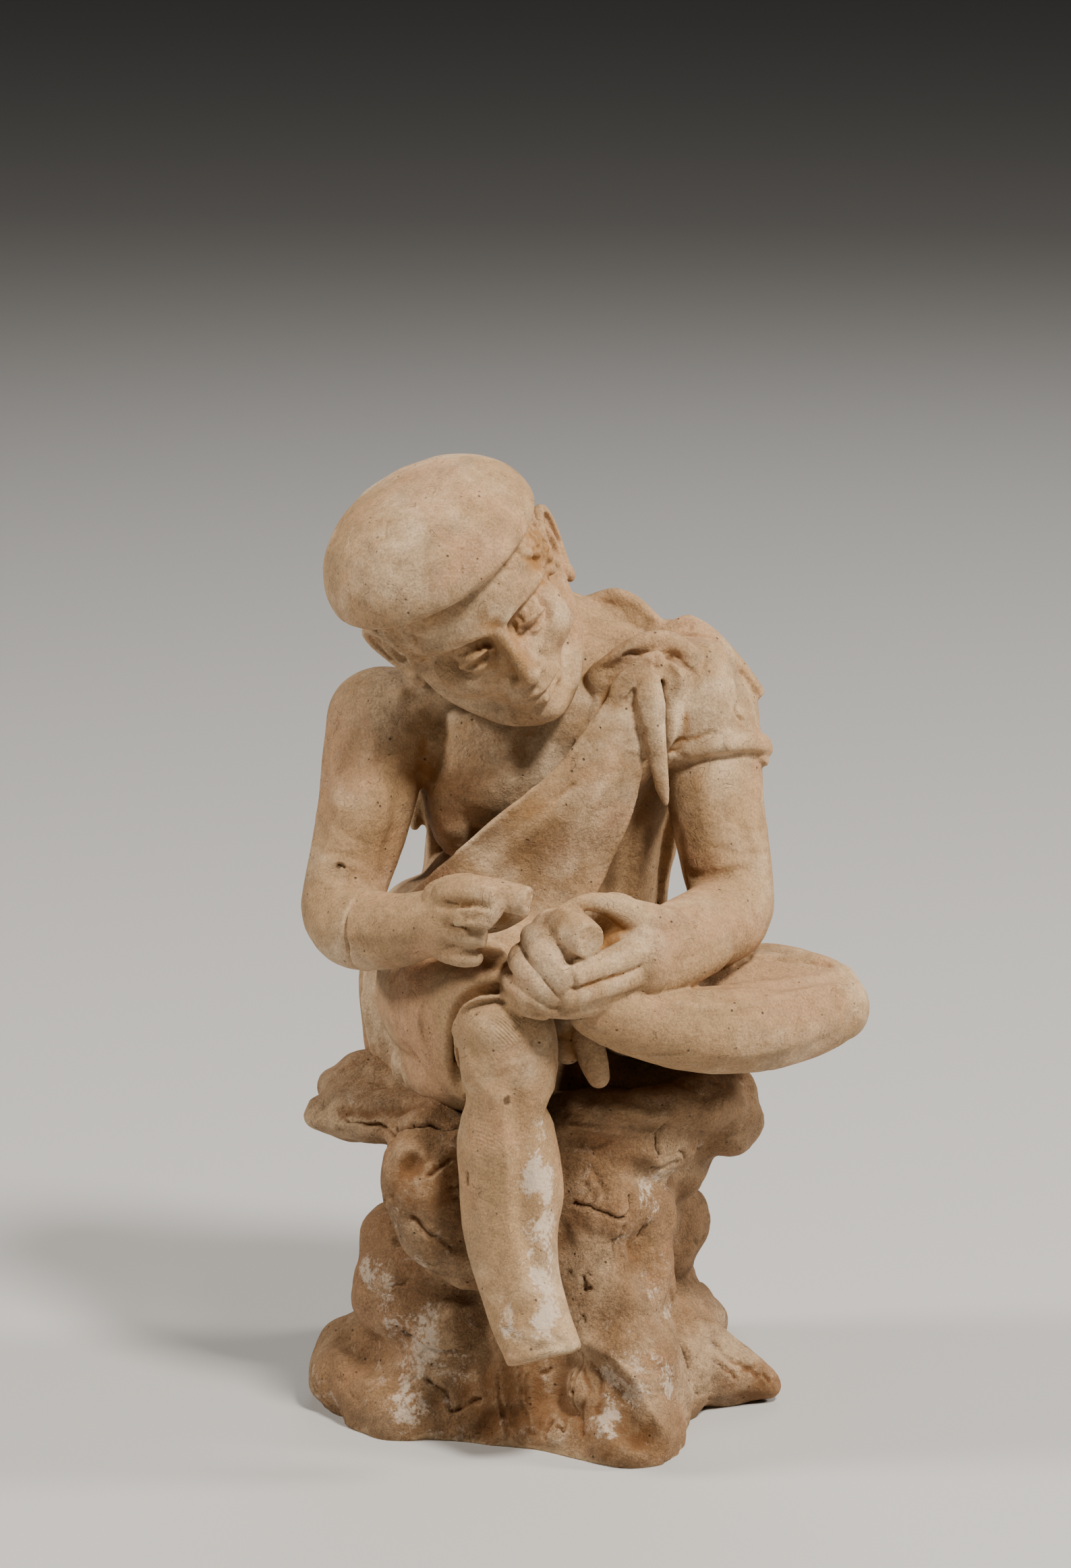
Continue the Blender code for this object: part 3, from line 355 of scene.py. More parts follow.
bodyStrokes = [
    # breastbone, the lower edge of the breast, collar bones and ribs
    ([(-1, -16, 150), (-1.6, -17, 140), (-2, -15, 130)], 4, 1),
    ([(-20, -11, 128.4), (-17, -14, 126.6), (-9, -15, 122.4), (-4.5, -15, 120)], 3, 0.5),
    ([(-24, -12, 150), (-22, -12, 146), (-21, -12, 141)], 2.6, 0.7),
    ([(-3, -9, 158), (-18, -8, 157), (-30, -7, 153)], 4, -1.3),
    ([(-4, -9, 155), (-18, -9, 154), (-27, -8, 151)], 2.4, 0.5),
    ([(-23, -8, 152), (-22.6, -10, 144), (-23, -8, 138)], 3, 1.2),
    *[([(-24, -2, z + 3), (-21, -9, z), (-14, -13, z - 1)], 1.8, 0.3) for z in (120, 115.4)],
    # arms: muscle edges, elbow folds and the wrist
    ([(-44, -20, 118.6), (-39, -24, 118), (-33, -22, 116.4)], 2.6, 0.8),
    ([(-44, -21, 124), (-40.4, -24, 123.4), (-36, -23, 121.6), (-34, -20, 120)], 1.1, 0.35),
    ([(-45, -20, 120.6), (-41, -23.6, 120.4), (-37, -22.6, 118.8)], 0.9, 0.2),
    ([(-45.4, -6, 140), (-45, -12, 128), (-46, -14, 120)], 4, 0.8),
    ([(-28, -12, 138), (-28.6, -16, 126), (-31, -18, 118)], 4, 0.8),
    ([(-38, -14, 146), (-40, -14, 139), (-38.6, -17, 131)], 3.4, 0.6),
    ([(-36, -14, 142), (-34, -18, 134), (-36, -20, 125)], 4.4, -0.6),
    ([(42, -17, 118.6), (37, -20, 117.4), (32, -16, 117.6)], 1.9, 0.7),
    ([(44, -10, 138), (42, -15, 128), (44, -18, 118)], 4, 0.7),
    ([(34, -14, 138), (35, -17, 130), (37, -19, 121)], 3.4, -0.5),
    ([(-30, -40, 116), (-24, -46, 118), (-20, -50, 119)], 2.2, 0.4),
    ([(-38, -32, 107), (-30, -41, 109), (-24, -46, 111)], 2.6, 0.4),
    ([(36, -30, 113), (28, -40, 113), (22, -46, 112)], 2.2, -0.4),
    ([(38, -31, 103), (30, -41, 102.6), (22, -48, 101)], 2.4, 0.4),
    # right leg: the gap under the hem, kneecap, shin and calf
    ([(-17.4, -38, 79), (-18.2, -41, 90), (-16.6, -47, 97.6), (-12.6, -49.5, 100.8), (-6.4, -50.5, 101.6)],
     2.2, 2.6),
    ([(-14.4, -53, 90), (-12.6, -56, 85), (-8.6, -58.6, 82.6), (-3.4, -57, 84), (-1, -53, 89)], 3.4, 0.5),
    ([(-9, -57, 78.6), (-8, -57.6, 75.6)], 3.4, -0.5),
    ([(3.4, -48, 75.4), (3.2, -44, 74.6)], 3.6, 1.2),
    ([(-16, -48, 77), (-16, -44, 76)], 3.6, 0.8),
    ([(-9.4, -56, 80), (-8.6, -57, 68), (-7.4, -58, 54), (-4, -60, 38)], 4, -0.8),
    ([(-4.4, -57, 79), (-3.6, -58, 68), (-3.2, -58, 55), (-1.4, -60, 43)], 3.4, 0.8),
    ([(-14, -52, 54), (-11, -54, 45), (-7, -57, 37)], 4, 0.4),
    ([(-6.4, -60, 31), (-3, -62, 28.6), (1, -63, 27.6), (5.4, -62, 29)], 1.8, 0.5),
    ([(-5.6, -60, 25.6), (-1, -63, 24.6), (3, -63, 26), (7, -61, 26.4)], 1.6, -0.6),
    # left leg: the shin's edge, the hollow above the calf and the knee
    ([(62, -27, 96), (52, -34, 95.4), (40, -43, 95), (28, -48, 96.4)], 2.2, -0.8),
    ([(60, -18, 96), (54, -18, 98), (48, -18, 100), (40, -19, 101), (32, -20, 101)], 1.5, 1.4),
    ([(64, -24, 98), (54, -30, 97.6), (41, -36, 97), (28, -42, 97.4)], 2.6, 0.5),
    ([(66, -22, 94), (64, -26, 88)], 3, 0.8),
    ([(66, -16, 97), (68, -18, 90), (66, -20, 84)], 2.4, -0.5),
    ([(58, -32, 85), (46, -40, 83), (34, -46, 84)], 3, 0.5),
]


# Both hands and the foot that they hold

gripLook = {"grain": 0.36, "rounds": 3, "breakSize": 1.1}


def shapeRightHand(clay):
    # a fist that pinched the thorn: the first two fingers and the thumb are broken off
    ball(clay, (-18.4, -46, 115), (6.4, 6.2, 9.2), (0, 12, 0))
    limb(clay, [(-21, -45, 119.6, 3.4), (-16, -48.6, 121.6, 3.6), (-11.6, -51, 121.6, 3.2)])
    limb(clay, [(-19, -48, 121.4, 3.2), (-13.5, -51.8, 122.2, 3.3), (-8.4, -54, 121.8, 3.3),
                (-2.6, -55.8, 120.8, 3.1)], roundEnds=(True, False))
    limb(clay, [(-19.4, -50, 121.4, 2, 2.2), (-14.4, -54.4, 122, 2.2, 1.9), (-9.4, -56.6, 121.8, 2, 1.6)],
         side=(0, 0, 1), roundEnds=(True, False))
    limb(clay, [(-20, -49, 117, 2.6, 2.6), (-14.8, -53.2, 117.1, 2.7, 2.5),
                (-10.7, -54.4, 116.9, 2.5, 2.1)], side=(0, 0, 1), roundEnds=(True, False))
    limb(clay, [(-8, -56.2, 122.8, 1.4, 1.2), (-8.4, -57.2, 120.6, 1.5, 1), (-9.4, -57.6, 118.4, 1.3, 1),
                (-10.8, -57.4, 116, 0.8, 0.9)], side=(1, 0, 0.3))
    sheet(clay, [[(-17.8, -55.6, 115.9), (-14.4, -56.2, 115.6), (-11.2, -56.7, 115.6)],
                 [(-17.7, -55.6, 117.6), (-14, -56.2, 117.7), (-10.8, -56.7, 117.7)],
                 [(-17.3, -55.6, 119.3), (-13.6, -56.2, 119.7), (-10.2, -56.7, 119.7)]], 2.8)
    limb(clay, [(-18, -43, 115, 4.4), (-10, -45, 116, 4.2), (-5.4, -48, 118, 3.4)])
    limb(clay, [(-20, -48.4, 112.9, 2.6), (-15.4, -52.8, 113, 2.5), (-11.2, -54, 112.9, 2.3)],
         side=(0, 0, 1), roundEnds=(True, False))
    limb(clay, [(-20.4, -46.6, 108.6, 2.4), (-16.6, -51.2, 108.2, 2.2), (-13.6, -52.4, 108.2, 1.9)],
         side=(0, 0, 1))
    ball(clay, (-18.6, -47, 108.8), (3.4, 3.6, 3.2))


def shapeLeftHand(clay):
    # the hand that holds the foot, its thumb on top and three fingers round the sole
    ball(clay, (19.6, -45, 106), (8.2, 6, 8.6), (0, 0, -30))
    limb(clay, [(26, -40, 111.4, 4.6), (20, -44.4, 114.6, 3.9), (14.8, -47.6, 117.9, 2.6),
                (10.6, -50, 119.4, 2), (7, -51.6, 119.2, 1.5), (3.9, -52.8, 118.4, 0.8)])
    limb(clay, [(22, -46, 109.4, 3.6), (15.4, -53.4, 108, 3.2), (10.4, -57.4, 107, 2.8),
                (6.2, -60, 106, 2.5)], side=(0, 0, 1), roundEnds=(True, False))
    limb(clay, [(21.4, -46.6, 104.6, 3.4), (14, -54.6, 103.2, 2.9), (8.6, -58.2, 102.3, 2.6),
                (4.4, -59.8, 101.5, 2.1)], side=(0, 0, 1), roundEnds=(True, False))
    limb(clay, [(20.4, -46.4, 100.2, 3.2), (12, -53.6, 99.3, 2.6), (6.4, -57, 98.6, 2.2),
                (1.6, -58, 98, 1.2)], side=(0, 0, 1))
    limb(clay, [(21, -44, 104.4, 7.4, 3), (13, -51.6, 103.6, 6.2, 2.6), (8, -55.6, 102.8, 5.2, 2.2)],
         side=(0, 0, 1))
    ball(clay, (15, -42.6, 113.4), (7, 3, 6.4))
    limb(clay, [(34, -31, 105.8, 6.4), (27, -38.6, 104.2, 6.6), (21, -44, 103, 6.2)])
    ball(clay, (18.6, -44.6, 112.2), (3.4, 3.4, 4))


def shapeHeldFoot(clay):
    # the left foot, sole up, with the big toe broken off
    ball(clay, (6, -48, 105), (9, 5.8, 8.4))
    limb(clay, [(2.4, -49.4, 113.6, 4.4), (6.2, -54.4, 114.4, 4.5), (9.9, -60, 113.6, 3.7)],
         roundEnds=(True, False))
    ball(clay, (0.8, -51.4, 113), (3.2, 3, 3.6))
    slant = (0.6, 0, 0.8)
    limb(clay, [(-1.6, -50, 112.2, 2.8, 2.8), (-0.6, -55.4, 111.6, 3.2, 2.8), (2.2, -58.6, 108.2, 3.2, 2.5),
                (4.8, -59.8, 104.6, 2.7, 2)], side=slant)
    limb(clay, [(-4, -49.6, 108.2, 2.6, 2.6), (-4, -54.4, 107.8, 2.8, 2.6), (-0.2, -58, 104.4, 2.8, 2.3),
                (3, -58.8, 101.6, 2.4, 1.9)], side=slant)
    limb(clay, [(-5.6, -48.8, 103.8, 2.2, 2.4), (-5.8, -52.8, 103.4, 2.2, 2.4),
                (-1.9, -56.8, 100.8, 2.2, 2.2), (2, -57.8, 99.2, 1.9, 1.8)], side=slant)
    limb(clay, [(-6, -48, 101, 1.8, 2.2), (-6.4, -51.6, 100.6, 1.8, 2.2), (-3.4, -54.8, 98.4, 1.8, 2),
                (0.6, -56, 97.3, 1.5)], side=slant)
    ball(clay, (0.2, -55.4, 113.2), (1.5, 1.5, 1.7))
    ball(clay, (5.6, -55.2, 109.4), (3.2, 3, 3))


gripStrokes = [
    # right hand: creases under the first finger and between the others, small marks on the break
    ([(-19.4, -52, 119.6), (-14.6, -56, 119.6), (-10, -57.6, 119.4)], 0.6, 0.8),
    ([(-19.4, -52, 114.9), (-14.6, -56, 114.9), (-11, -56.6, 114.7)], 0.6, 0.9),
    ([(-18.8, -52, 110.7), (-15.4, -54.6, 110.6), (-12, -54.8, 110.5)], 0.65, 1.2),
    *[([(x, -56, 118.9), (x + 0.4, -56, 115.6)], 0.5, 0.25) for x in (-17, -15.6, -14.1, -13, -11.9)],
    ([(-17.6, -55, 117.8), (-15, -56.4, 117.4), (-12, -57, 117.9)], 0.5, 0.25),
    ([(-19, -51, 123), (-14, -55, 123.8), (-9.6, -57, 123.4)], 0.6, -0.35),
    ([(-22.5, -46, 113), (-22.2, -47.4, 118), (-21, -48, 121)], 1.6, 0.35),
    # left hand: grooves between the fingers, nails, the thumb's nail
    ([(19, -51, 106.6), (13.4, -57, 105.6), (6.4, -61, 104)], 0.7, 0.75),
    ([(19, -51, 101.8), (12.6, -57.4, 101), (4.8, -60.6, 99.9)], 0.65, 0.7),
    ([(9.6, -60, 109.2), (9.2, -61.4, 107), (9.6, -61, 104.8)], 0.5, 0.35),
    ([(9, -60, 108.6), (6.6, -61.4, 108.4)], 0.5, 0.3),
    ([(7.4, -61, 103.6), (7.2, -61.6, 102), (7.4, -61, 100.6)], 0.45, 0.3),
    ([(5.4, -59.6, 99.4), (5.2, -60, 98), (5.4, -59.6, 97)], 0.4, 0.25),
    ([(7.2, -53, 120.4), (5.8, -54.4, 119.3), (6, -54, 118.2)], 0.4, 0.3),
    ([(26, -44, 104), (20, -50, 99.6), (14, -54, 97.6)], 1, 0.3),
    # foot: creases between the toes, nails and the edge of the broken toe
    ([(-3.2, -55, 110.4), (0.4, -58.6, 106.7), (3.8, -59.6, 102.9)], 0.6, 0.85),
    ([(-6, -53, 105.4), (-0.3, -58, 101.9), (3, -58.8, 100)], 0.55, 0.75),
    ([(-7.2, -52, 101.6), (-3.2, -56, 99.4), (1.4, -57, 98)], 0.5, 0.65),
    ([(1.6, -57.6, 113.6), (4.4, -58.6, 111.6), (6.6, -59.6, 108.4)], 0.6, 0.7),
    ([(1.4, -60, 110.2), (3.6, -60.8, 108.6), (5.6, -61, 106)], 0.5, -0.35),
    ([(2, -60.4, 109.2), (3.2, -60.8, 106.8), (4.8, -61, 105)], 0.45, 0.25),
    ([(-1.6, -58, 107.6), (0.2, -59.4, 105.4)], 0.5, -0.25),
    ([(2.6, -51, 118.4), (4.4, -55, 117.6), (6.4, -58, 115.8)], 0.6, 0.25),
    *[([(8.4 + i, -61.4, 116.2), (9.4 + i * 0.8, -61.6, 113.4), (8.8 + i, -61.4, 111.4)], 0.45, 0.3)
      for i in (-0.9, 0.3, 1.4, 2.5)],
]

# rough breaks: centre, radius and height of the roughness
breaks = [((-14.2, -57.6, 117.6), 4.4, 0.5), ((-2.2, -56, 120.8), 3.4, 0.6),
          ((10.2, -60.4, 113.6), 3.6, 0.36), ((0.8, -58, 23.6), 8, 0.5), ((-9, -57.6, 119), 1.6, 0.2)]


def roughBreaks(mesh):
    spots = readSpots(mesh)
    for centre, radius, height in breaks:
        distance = np.linalg.norm(spots - np.array(centre), axis=1)
        near = np.nonzero(distance < radius)[0]
        share = 1 - (distance[near] / radius) ** 2
        for i, part in zip(near, share):
            lump = Vector(spots[i] / gripLook["breakSize"])
            spots[i] += np.array(noise.turbulence_vector(lump, 3, True)) * (height * part)
    writeSpots(mesh, spots)


# The clothes

clothLook = {"grain": 0.5, "rounds": 5, "uneven": (6, 0.3), "cloth": 2, "cuff": 4.4}


def shapeTunic(clay):
    # the band slung from the left shoulder, the skirt over the right thigh and the back
    cloth = clothLook["cloth"]
    sheet(clay, [[(19, -11, 161), (22, -13, 159), (25, -12, 156)],
                 [(11, -16.5, 151), (17, -18.5, 149), (22.5, -15, 147)],
                 [(3, -20, 141), (12, -21.6, 139), (21, -16, 140)],
                 [(-7, -20, 132.5), (6, -22, 130), (19, -15, 131)],
                 [(-15, -17, 125), (1, -20, 121), (16.5, -15, 124)],
                 [(-22, -13, 118), (-6, -20, 112), (13, -17, 116)],
                 [(-29, -6, 109), (-12, -22, 105), (8, -22, 106)]], cloth * 1.4)
    limb(clay, [(-17, 10, 66, 18.5, 21), (-19, 8, 78, 19.4, 22), (-19, 6, 90, 20, 22), (-19, 4, 99, 18, 20),
                (-15, 4, 107, 12, 16)], roundEnds=(False, True), sides=28)
    limb(clay, [(-18, 10, 86, 19, 17), (-18, -6, 90, 18, 17), (-16, -20, 91, 16, 16.4),
                (-13.8, -29, 90.6, 14, 15), (-13, -33, 90.4, 13, 13.6)], roundEnds=(True, False), sides=28)
    ball(clay, (-8, -20, 101), (20, 13, 9), (0, 8, -10))
    limb(clay, [(-20, 2, 75, 15, 10), (-18, -12, 75.5, 13, 10), (-15.4, -24, 77, 10, 9),
                (-13, -31, 79, 8, 7)])
    wrap(clay, [(0, 16, 67, 30, 23, -10, 200), (0, 15.6, 75, 28.6, 21.4, -12, 196),
                (0, 16, 90, 28.5, 20.2, -12, 196), (0.4, 15, 106, 25.8, 19, -12, 194),
                (2.6, 12, 120, 26, 19, -14, 192), (2.6, 8.6, 134, 27.4, 19.2, -4, 184),
                (2, 6, 145, 27, 17.4, 12, 150), (5, 6, 152.6, 24, 14.4, 22, 128),
                (10, 6, 159, 18.6, 10.8, 30, 112), (15, 6, 163.8, 10.6, 6.8, 34, 106)],
         cloth * 1.2, points=15)
    limb(clay, [(-27, 11, 122, 1.3), (-25.4, 12.6, 131, 1.5), (-22.2, 15.4, 140, 1.6),
                (-16, 18.4, 147, 1.7), (-8, 18.6, 153.6, 1.7), (1.6, 16.6, 160, 1.7), (8, 13.4, 164.6, 1.7),
                (12.4, 10, 167, 1.6)])
    limb(clay, [(19, 10, 98, 5, 9), (20, 9.6, 118, 5.6, 9), (22.4, 8, 134, 6, 9), (22, 7, 146, 6, 8)])


def shapeHem(clay):
    # the free edge of the skirt over the knee: a thick lip, a gap, and a thin torn edge inside it
    edge = [(-16, -36, 74.7), (-18.3, -36, 78.2), (-19.2, -38, 84), (-18.6, -42, 93.9), (-15.4, -46, 100),
            (-10.8, -49, 103.1), (-5.6, -50.4, 104.4)]
    middle = [(-19, -32, 74.2), (-22, -32, 78.5), (-23.6, -33, 84.5), (-23.4, -35, 94.2), (-19.8, -38, 101.2),
              (-13.4, -40, 104.8), (-6.8, -42, 105.6)]
    back = [(-20, -27, 74), (-24, -27, 79), (-26, -27, 85), (-26, -28, 94), (-22.5, -29, 101),
            (-15, -30, 105), (-8, -31, 106.4)]
    sheet(clay, [back, middle, edge], clothLook["cloth"] * 1.1)
    limb(clay, [(*point, 1.2) for point in edge])
    inner = [(-15.4, -38, 76), (-17.6, -41.6, 86), (-17.4, -45.6, 92.9), (-15.6, -49.4, 97.2),
             (-12.7, -51.6, 99.4), (-8, -53, 100.2), (-4.6, -53, 100)]
    limb(clay, [(*point, 0.65) for point in inner])


def shapeScarf(clay):
    # the rolled edge round the neck, the knot on the shoulder and its hanging ends
    ball(clay, (25, -5, 159.6), (8.4, 7, 5.6), (0, 20, 0))
    ball(clay, (30, -1, 158), (8, 9, 7.6), (0, 24, 0))
    limb(clay, [(9.8, -6.4, 157.6, 0.9, 1.8), (13, -9.4, 160.8, 1.3, 3), (16.3, -11.6, 163.9, 1.5, 3),
                (19.9, -12.2, 166.2, 1.8, 2.2), (23.4, -10.8, 166.6, 2.3, 2.4), (26.9, -9.6, 166, 2.5, 2.6),
                (29.9, -9.2, 164.4, 2.3, 2.6), (32.4, -9, 162, 1.6, 2.2), (33.8, -8.6, 160.2, 0.8, 1.4)],
         side=(0, 0, 1))
    limb(clay, [(5.6, 5.8, 169.2, 1.4), (8.8, 6.8, 170.8, 1.6, 2), (12.2, 7, 171.9, 1.8, 2.2),
                (15.2, 6.8, 172.5, 1.9, 2.2), (17.8, 6.4, 172.2, 1.9, 2.2), (20.4, 5.8, 170.8, 1.8, 2.2),
                (23, 5, 168.6, 1.7, 2.2), (26, 3.6, 166.6, 1.4)])
    limb(clay, [(23.4, 2.6, 164.8, 1.5, 2.2), (27.4, 3.6, 166.3, 1.6, 2.4), (31.4, 4.6, 166.9, 1.6, 2.4),
                (34.8, 5, 165.8, 1.5, 2.3), (37.8, 5.2, 163.4, 1.5, 2.2), (40.4, 5.2, 160.3, 1.45, 2.1),
                (43, 5.2, 157.2, 1.4, 2.1), (45.2, 5, 154.2, 1.4, 2), (46.8, 4.8, 151.6, 1.35, 2)],
         roundEnds=(True, False))
    ball(clay, (22.4, -13, 161.4), (3, 2.2, 2.4), (0, 30, 0))
    limb(clay, [(24.4, -14.4, 163.9, 1.2, 1.2), (22.8, -15.6, 163.2, 1.8, 1.2),
                (20.6, -16.2, 161.8, 2.1, 1.2), (18, -16.6, 159.6, 2.2, 1.1), (15.9, -16.4, 157, 1.8, 1),
                (14.8, -15.8, 154.8, 1, 0.8)], side=(-0.62, 0, 0.78))
    limb(clay, [(24.9, -15.4, 163, 0.6), (21.8, -17.4, 161, 0.7), (19.3, -17.9, 158.5, 0.7),
                (16.4, -17.4, 154.6, 0.5)])
    ball(clay, (17.8, -14.4, 157.6), (2.8, 2.4, 4), (0, 34, 0))
    limb(clay, [(23.3, -15.6, 161.2, 1.9, 1.4), (22.9, -17.6, 158.8, 2.7, 1.7), (22.9, -18.6, 156, 3, 1.9),
                (23.2, -19, 152.6, 3.1, 2), (23.6, -19.2, 148.1, 2.8, 2), (24.4, -18.8, 142.9, 2.2, 1.8),
                (25.3, -18.2, 137.6, 1.7, 1.5), (26.3, -17.4, 132.9, 0.8, 0.9)])
    limb(clay, [(25.8, -14, 162, 1.2, 1.1), (27.2, -15, 160.6, 2.4, 1.3), (28, -15, 158.4, 2.3, 1.3),
                (27.4, -15, 155.2, 1.4, 1.2), (26.7, -14.8, 152.6, 0.7, 1)], side=(1, 0, 0.2))
    limb(clay, [(29.8, -14.2, 161.4, 0.5), (30.4, -14.4, 159, 0.6), (29.4, -14.6, 156, 0.6),
                (27.7, -14.4, 152.4, 0.6), (27, -13.6, 148.4, 0.7), (27.4, -13, 144.4, 0.6)])
    limb(clay, [(33.4, -4, 158, 7.4, 7.6), (34, -5.4, 152, 7.8, 8.6), (34, -5.6, 146, 7.8, 8.4)])
    limb(clay, [(29.8, -9.6, 158, 2.6, 3.8), (29.4, -9.8, 151, 2.8, 3.8), (29.2, -9.6, 145.5, 2.8, 3.4)])
    limb(clay, [(27, -13.4, 158, 2, 2.4), (27.6, -13.6, 152, 2.2, 2.6), (27.4, -12.8, 147, 2, 2.6),
                (27, -12, 143.4, 1.2, 1.8), (26.8, -11.4, 140.4, 0.6, 0.9)])
    ball(clay, (33, 3, 158), (9.4, 7, 8.2), (0, 30, 0))
    limb(clay, [(10, 7.4, 169, 4), (17, 7, 168, 4), (24, 6, 164, 4)])
    ball(clay, (14.6, -9.4, 157.4), (5.4, 4, 5), (0, 30, 0))
    limb(clay, [(16.4, -7.6, 159, 3, 3.4), (13.4, -10, 153, 3, 3.6), (9.4, -13, 145, 2.4, 3)])
    limb(clay, [(20.6, -14.8, 158, 2, 2.2), (20.4, -16.8, 152, 2.2, 2.2), (21.2, -16.6, 147, 2, 2)])
    limb(clay, [(11.4, -6.8, 156, 3), (15, -9.2, 159.8, 3.2), (19.4, -10.8, 163, 2.8), (24, -11, 163.8, 2.6)])
    ball(clay, (30.4, -9.4, 160.4), (3.6, 3.4, 3))
    ball(clay, (30, 6, 158), (13, 8, 9), (0, 30, 0))


def shapeSleeve(clay):
    half = clothLook["cloth"] / 2
    limb(clay, [(34.8, 3, 148.4, 10.6 + half, 10.8 + half), (36, 0.4, 144, 9.9 + half, 11 + half),
                (36.6, -1.4, 140.4, 9.4 + half, 10.6 + half)], roundEnds=(True, False))
    # the folded cuff, higher at the front, and the flap where its ends meet
    middle, axis = Vector((36.6, -1.6, 140.4)), Vector((-0.15, 0.36, 0.92)) * (clothLook["cuff"] / 2)
    limb(clay, [(*(middle + axis), 11.8, 13.2), (*(middle + axis * 0.4), 12.5, 13.9),
                (*(middle - axis * 0.5), 12.6, 14), (*(middle - axis), 11.9, 13.3)],
         roundEnds=(False, False), sides=32)
    limb(clay, [(46, -6, 140.8, 1.4, 0.9), (47.4, -4.4, 139.4, 1.4, 0.9), (46.9, -3, 138.6, 0.8)],
         side=(0, 1, 0))


clothStrokes = [
    # folds across the back, from the left shoulder down to the right hip
    *[([(26 - s, 19 + s * 0.2, 150 - s), (14 - s, 28, 134 - s), (-4 - s * 0.8, 33, 112 - s * 0.8),
        (-20 - s * 0.5, 33, 92 - s * 0.4), (-28, 28, 74)], 3.6, depth)
      for s, depth in ((-7, -1), (-1, 1.3), (5, -1.2), (11, 1.2), (17, -1), (23, 0.9))],
    *[([(18 - s, 34, 112 - s), (14 - s, 36, 92), (12 - s * 1.2, 36, 73)], 3.4, depth)
      for s, depth in ((-6, 1), (0, -1.1), (6, 1.2), (12, -1.1))],
    # the band over the chest
    ([(20, -18, 156), (12, -23, 142), (-2, -24, 128), (-14, -22, 117)], 3.4, -0.35),
    ([(22, -18, 152), (19, -21, 140), (9, -23, 125), (-2, -23, 112)], 5, 0.45),
    ([(20.4, -18, 154), (19.6, -21, 146), (20.6, -20, 138)], 1.8, 0.5),
    ([(9.4, -21, 140), (6.4, -22, 137.4), (2.9, -22, 134.4)], 0.7, 1),
    ([(9, -21, 138.4), (5.6, -22, 135.4)], 1.4, -0.35),
    ([(-2, -22, 137.4), (-10, -21, 130.6), (-18, -17, 123)], 1.5, -0.3),
    ([(14, -21, 130), (10, -22, 121), (2, -23, 112)], 3, -0.25),
    # the skirt: folds at the hip, over the thigh and where it meets the rock
    ([(-37, -6, 98), (-36, -8, 86), (-33, -8, 74)], 3, 1.1),
    ([(-39, 2, 92), (-37.6, 2, 82), (-34, 2, 72)], 2.6, 1.1),
    ([(-38, -2, 88), (-37, -3, 80), (-35, -3, 72)], 1.8, -0.8),
    ([(-35, -14, 82), (-33, -16, 76), (-31, -16, 71)], 1.6, 0.9),
    ([(-28, -17, 100), (-25, -24, 90), (-24, -26, 80)], 3.6, 0.9),
    ([(-29, -22, 96), (-28, -26, 88), (-27, -27, 79)], 2, -0.5),
    ([(-24, -24, 104), (-16, -34, 104), (-8, -40, 105)], 2.6, -0.7),
    ([(-22, -28, 101), (-16, -36, 100.6), (-10, -41, 101)], 1.6, 0.5),
    ([(-26, -19, 105), (-15, -28, 107), (-4, -33, 108)], 2.6, 0.6),
    # shoulder and sleeve
    ([(36, -6, 160), (40, -8, 152), (41, -10, 147)], 3.6, 0.35),
    ([(27.4, -12.6, 147), (28.4, -13.6, 143.4), (30, -14, 141)], 1.4, 0.7),
    ([(27, -14, 142.6), (29.5, -14, 144.9), (33, -15, 146.6), (38, -15, 147.8), (42.4, -13, 147.6),
      (47, -8, 146)], 0.8, 0.6),
    ([(38.6, -16, 145.8), (38.8, -16, 142.4)], 0.5, 0.35),
    # knot, loops and hanging end
    ([(24.3, -16, 164.4), (24.5, -17, 162.6), (24.3, -17.6, 161.4)], 0.9, 1.1),
    ([(24.2, -16.4, 162.6), (22, -17, 160.8), (19.6, -17.4, 158.4), (17.2, -17, 155.4)], 0.7, 0.5),
    ([(22.4, -17, 162.8), (19.8, -17.4, 160.8), (17.2, -17.2, 157.8)], 1.5, 0.7),
    ([(25, -16.4, 161.8), (26.1, -17.4, 158.4), (26.6, -17.6, 153), (26.7, -17.6, 147), (26.9, -17.4, 141)],
     0.6, 0.5),
    ([(20.4, -17, 158.6), (19.4, -17.6, 154), (20.2, -18, 148), (21.8, -18, 142), (23.4, -17.8, 137)],
     0.6, 0.5),
    ([(26.6, -16.6, 161.6), (27.6, -16.6, 159.4), (27.4, -16.6, 156.6)], 1.7, 0.9),
    ([(29.6, -15.6, 151.6), (29.2, -15, 147.6), (29.4, -14.6, 144.8)], 1.2, 0.4),
    ([(13.4, -15, 159.4), (16.4, -15.2, 162.4), (19.8, -14.6, 164), (24, -13.6, 164.4), (28, -12.6, 163.4),
      (31.6, -11.6, 160.2)], 0.8, 1.1),
    ([(31.8, -10, 159.6), (33.6, -9.4, 161.4), (34.6, -8, 163.6)], 0.8, 0.5),
    ([(18, -10.4, 169), (23, -9, 169.6), (28, -7.6, 168.8), (32, -6.8, 166.4)], 0.9, 0.7),
    ([(12.5, 4.5, 172.4), (16, 4.5, 170.8), (17.8, 4.5, 169), (20.1, 4, 166.6), (22.1, 3, 166)], 0.8, 0.8),
    ([(29, 0, 165.6), (33, 0.4, 165.2), (35.3, 1.2, 164.2), (37.9, 2.2, 161.4), (40, 2.8, 158.3),
      (42.5, 2.8, 155.2), (44.6, 2.8, 152.4)], 1, 1.2),
]


# The head, drawn upright with its face along -Y

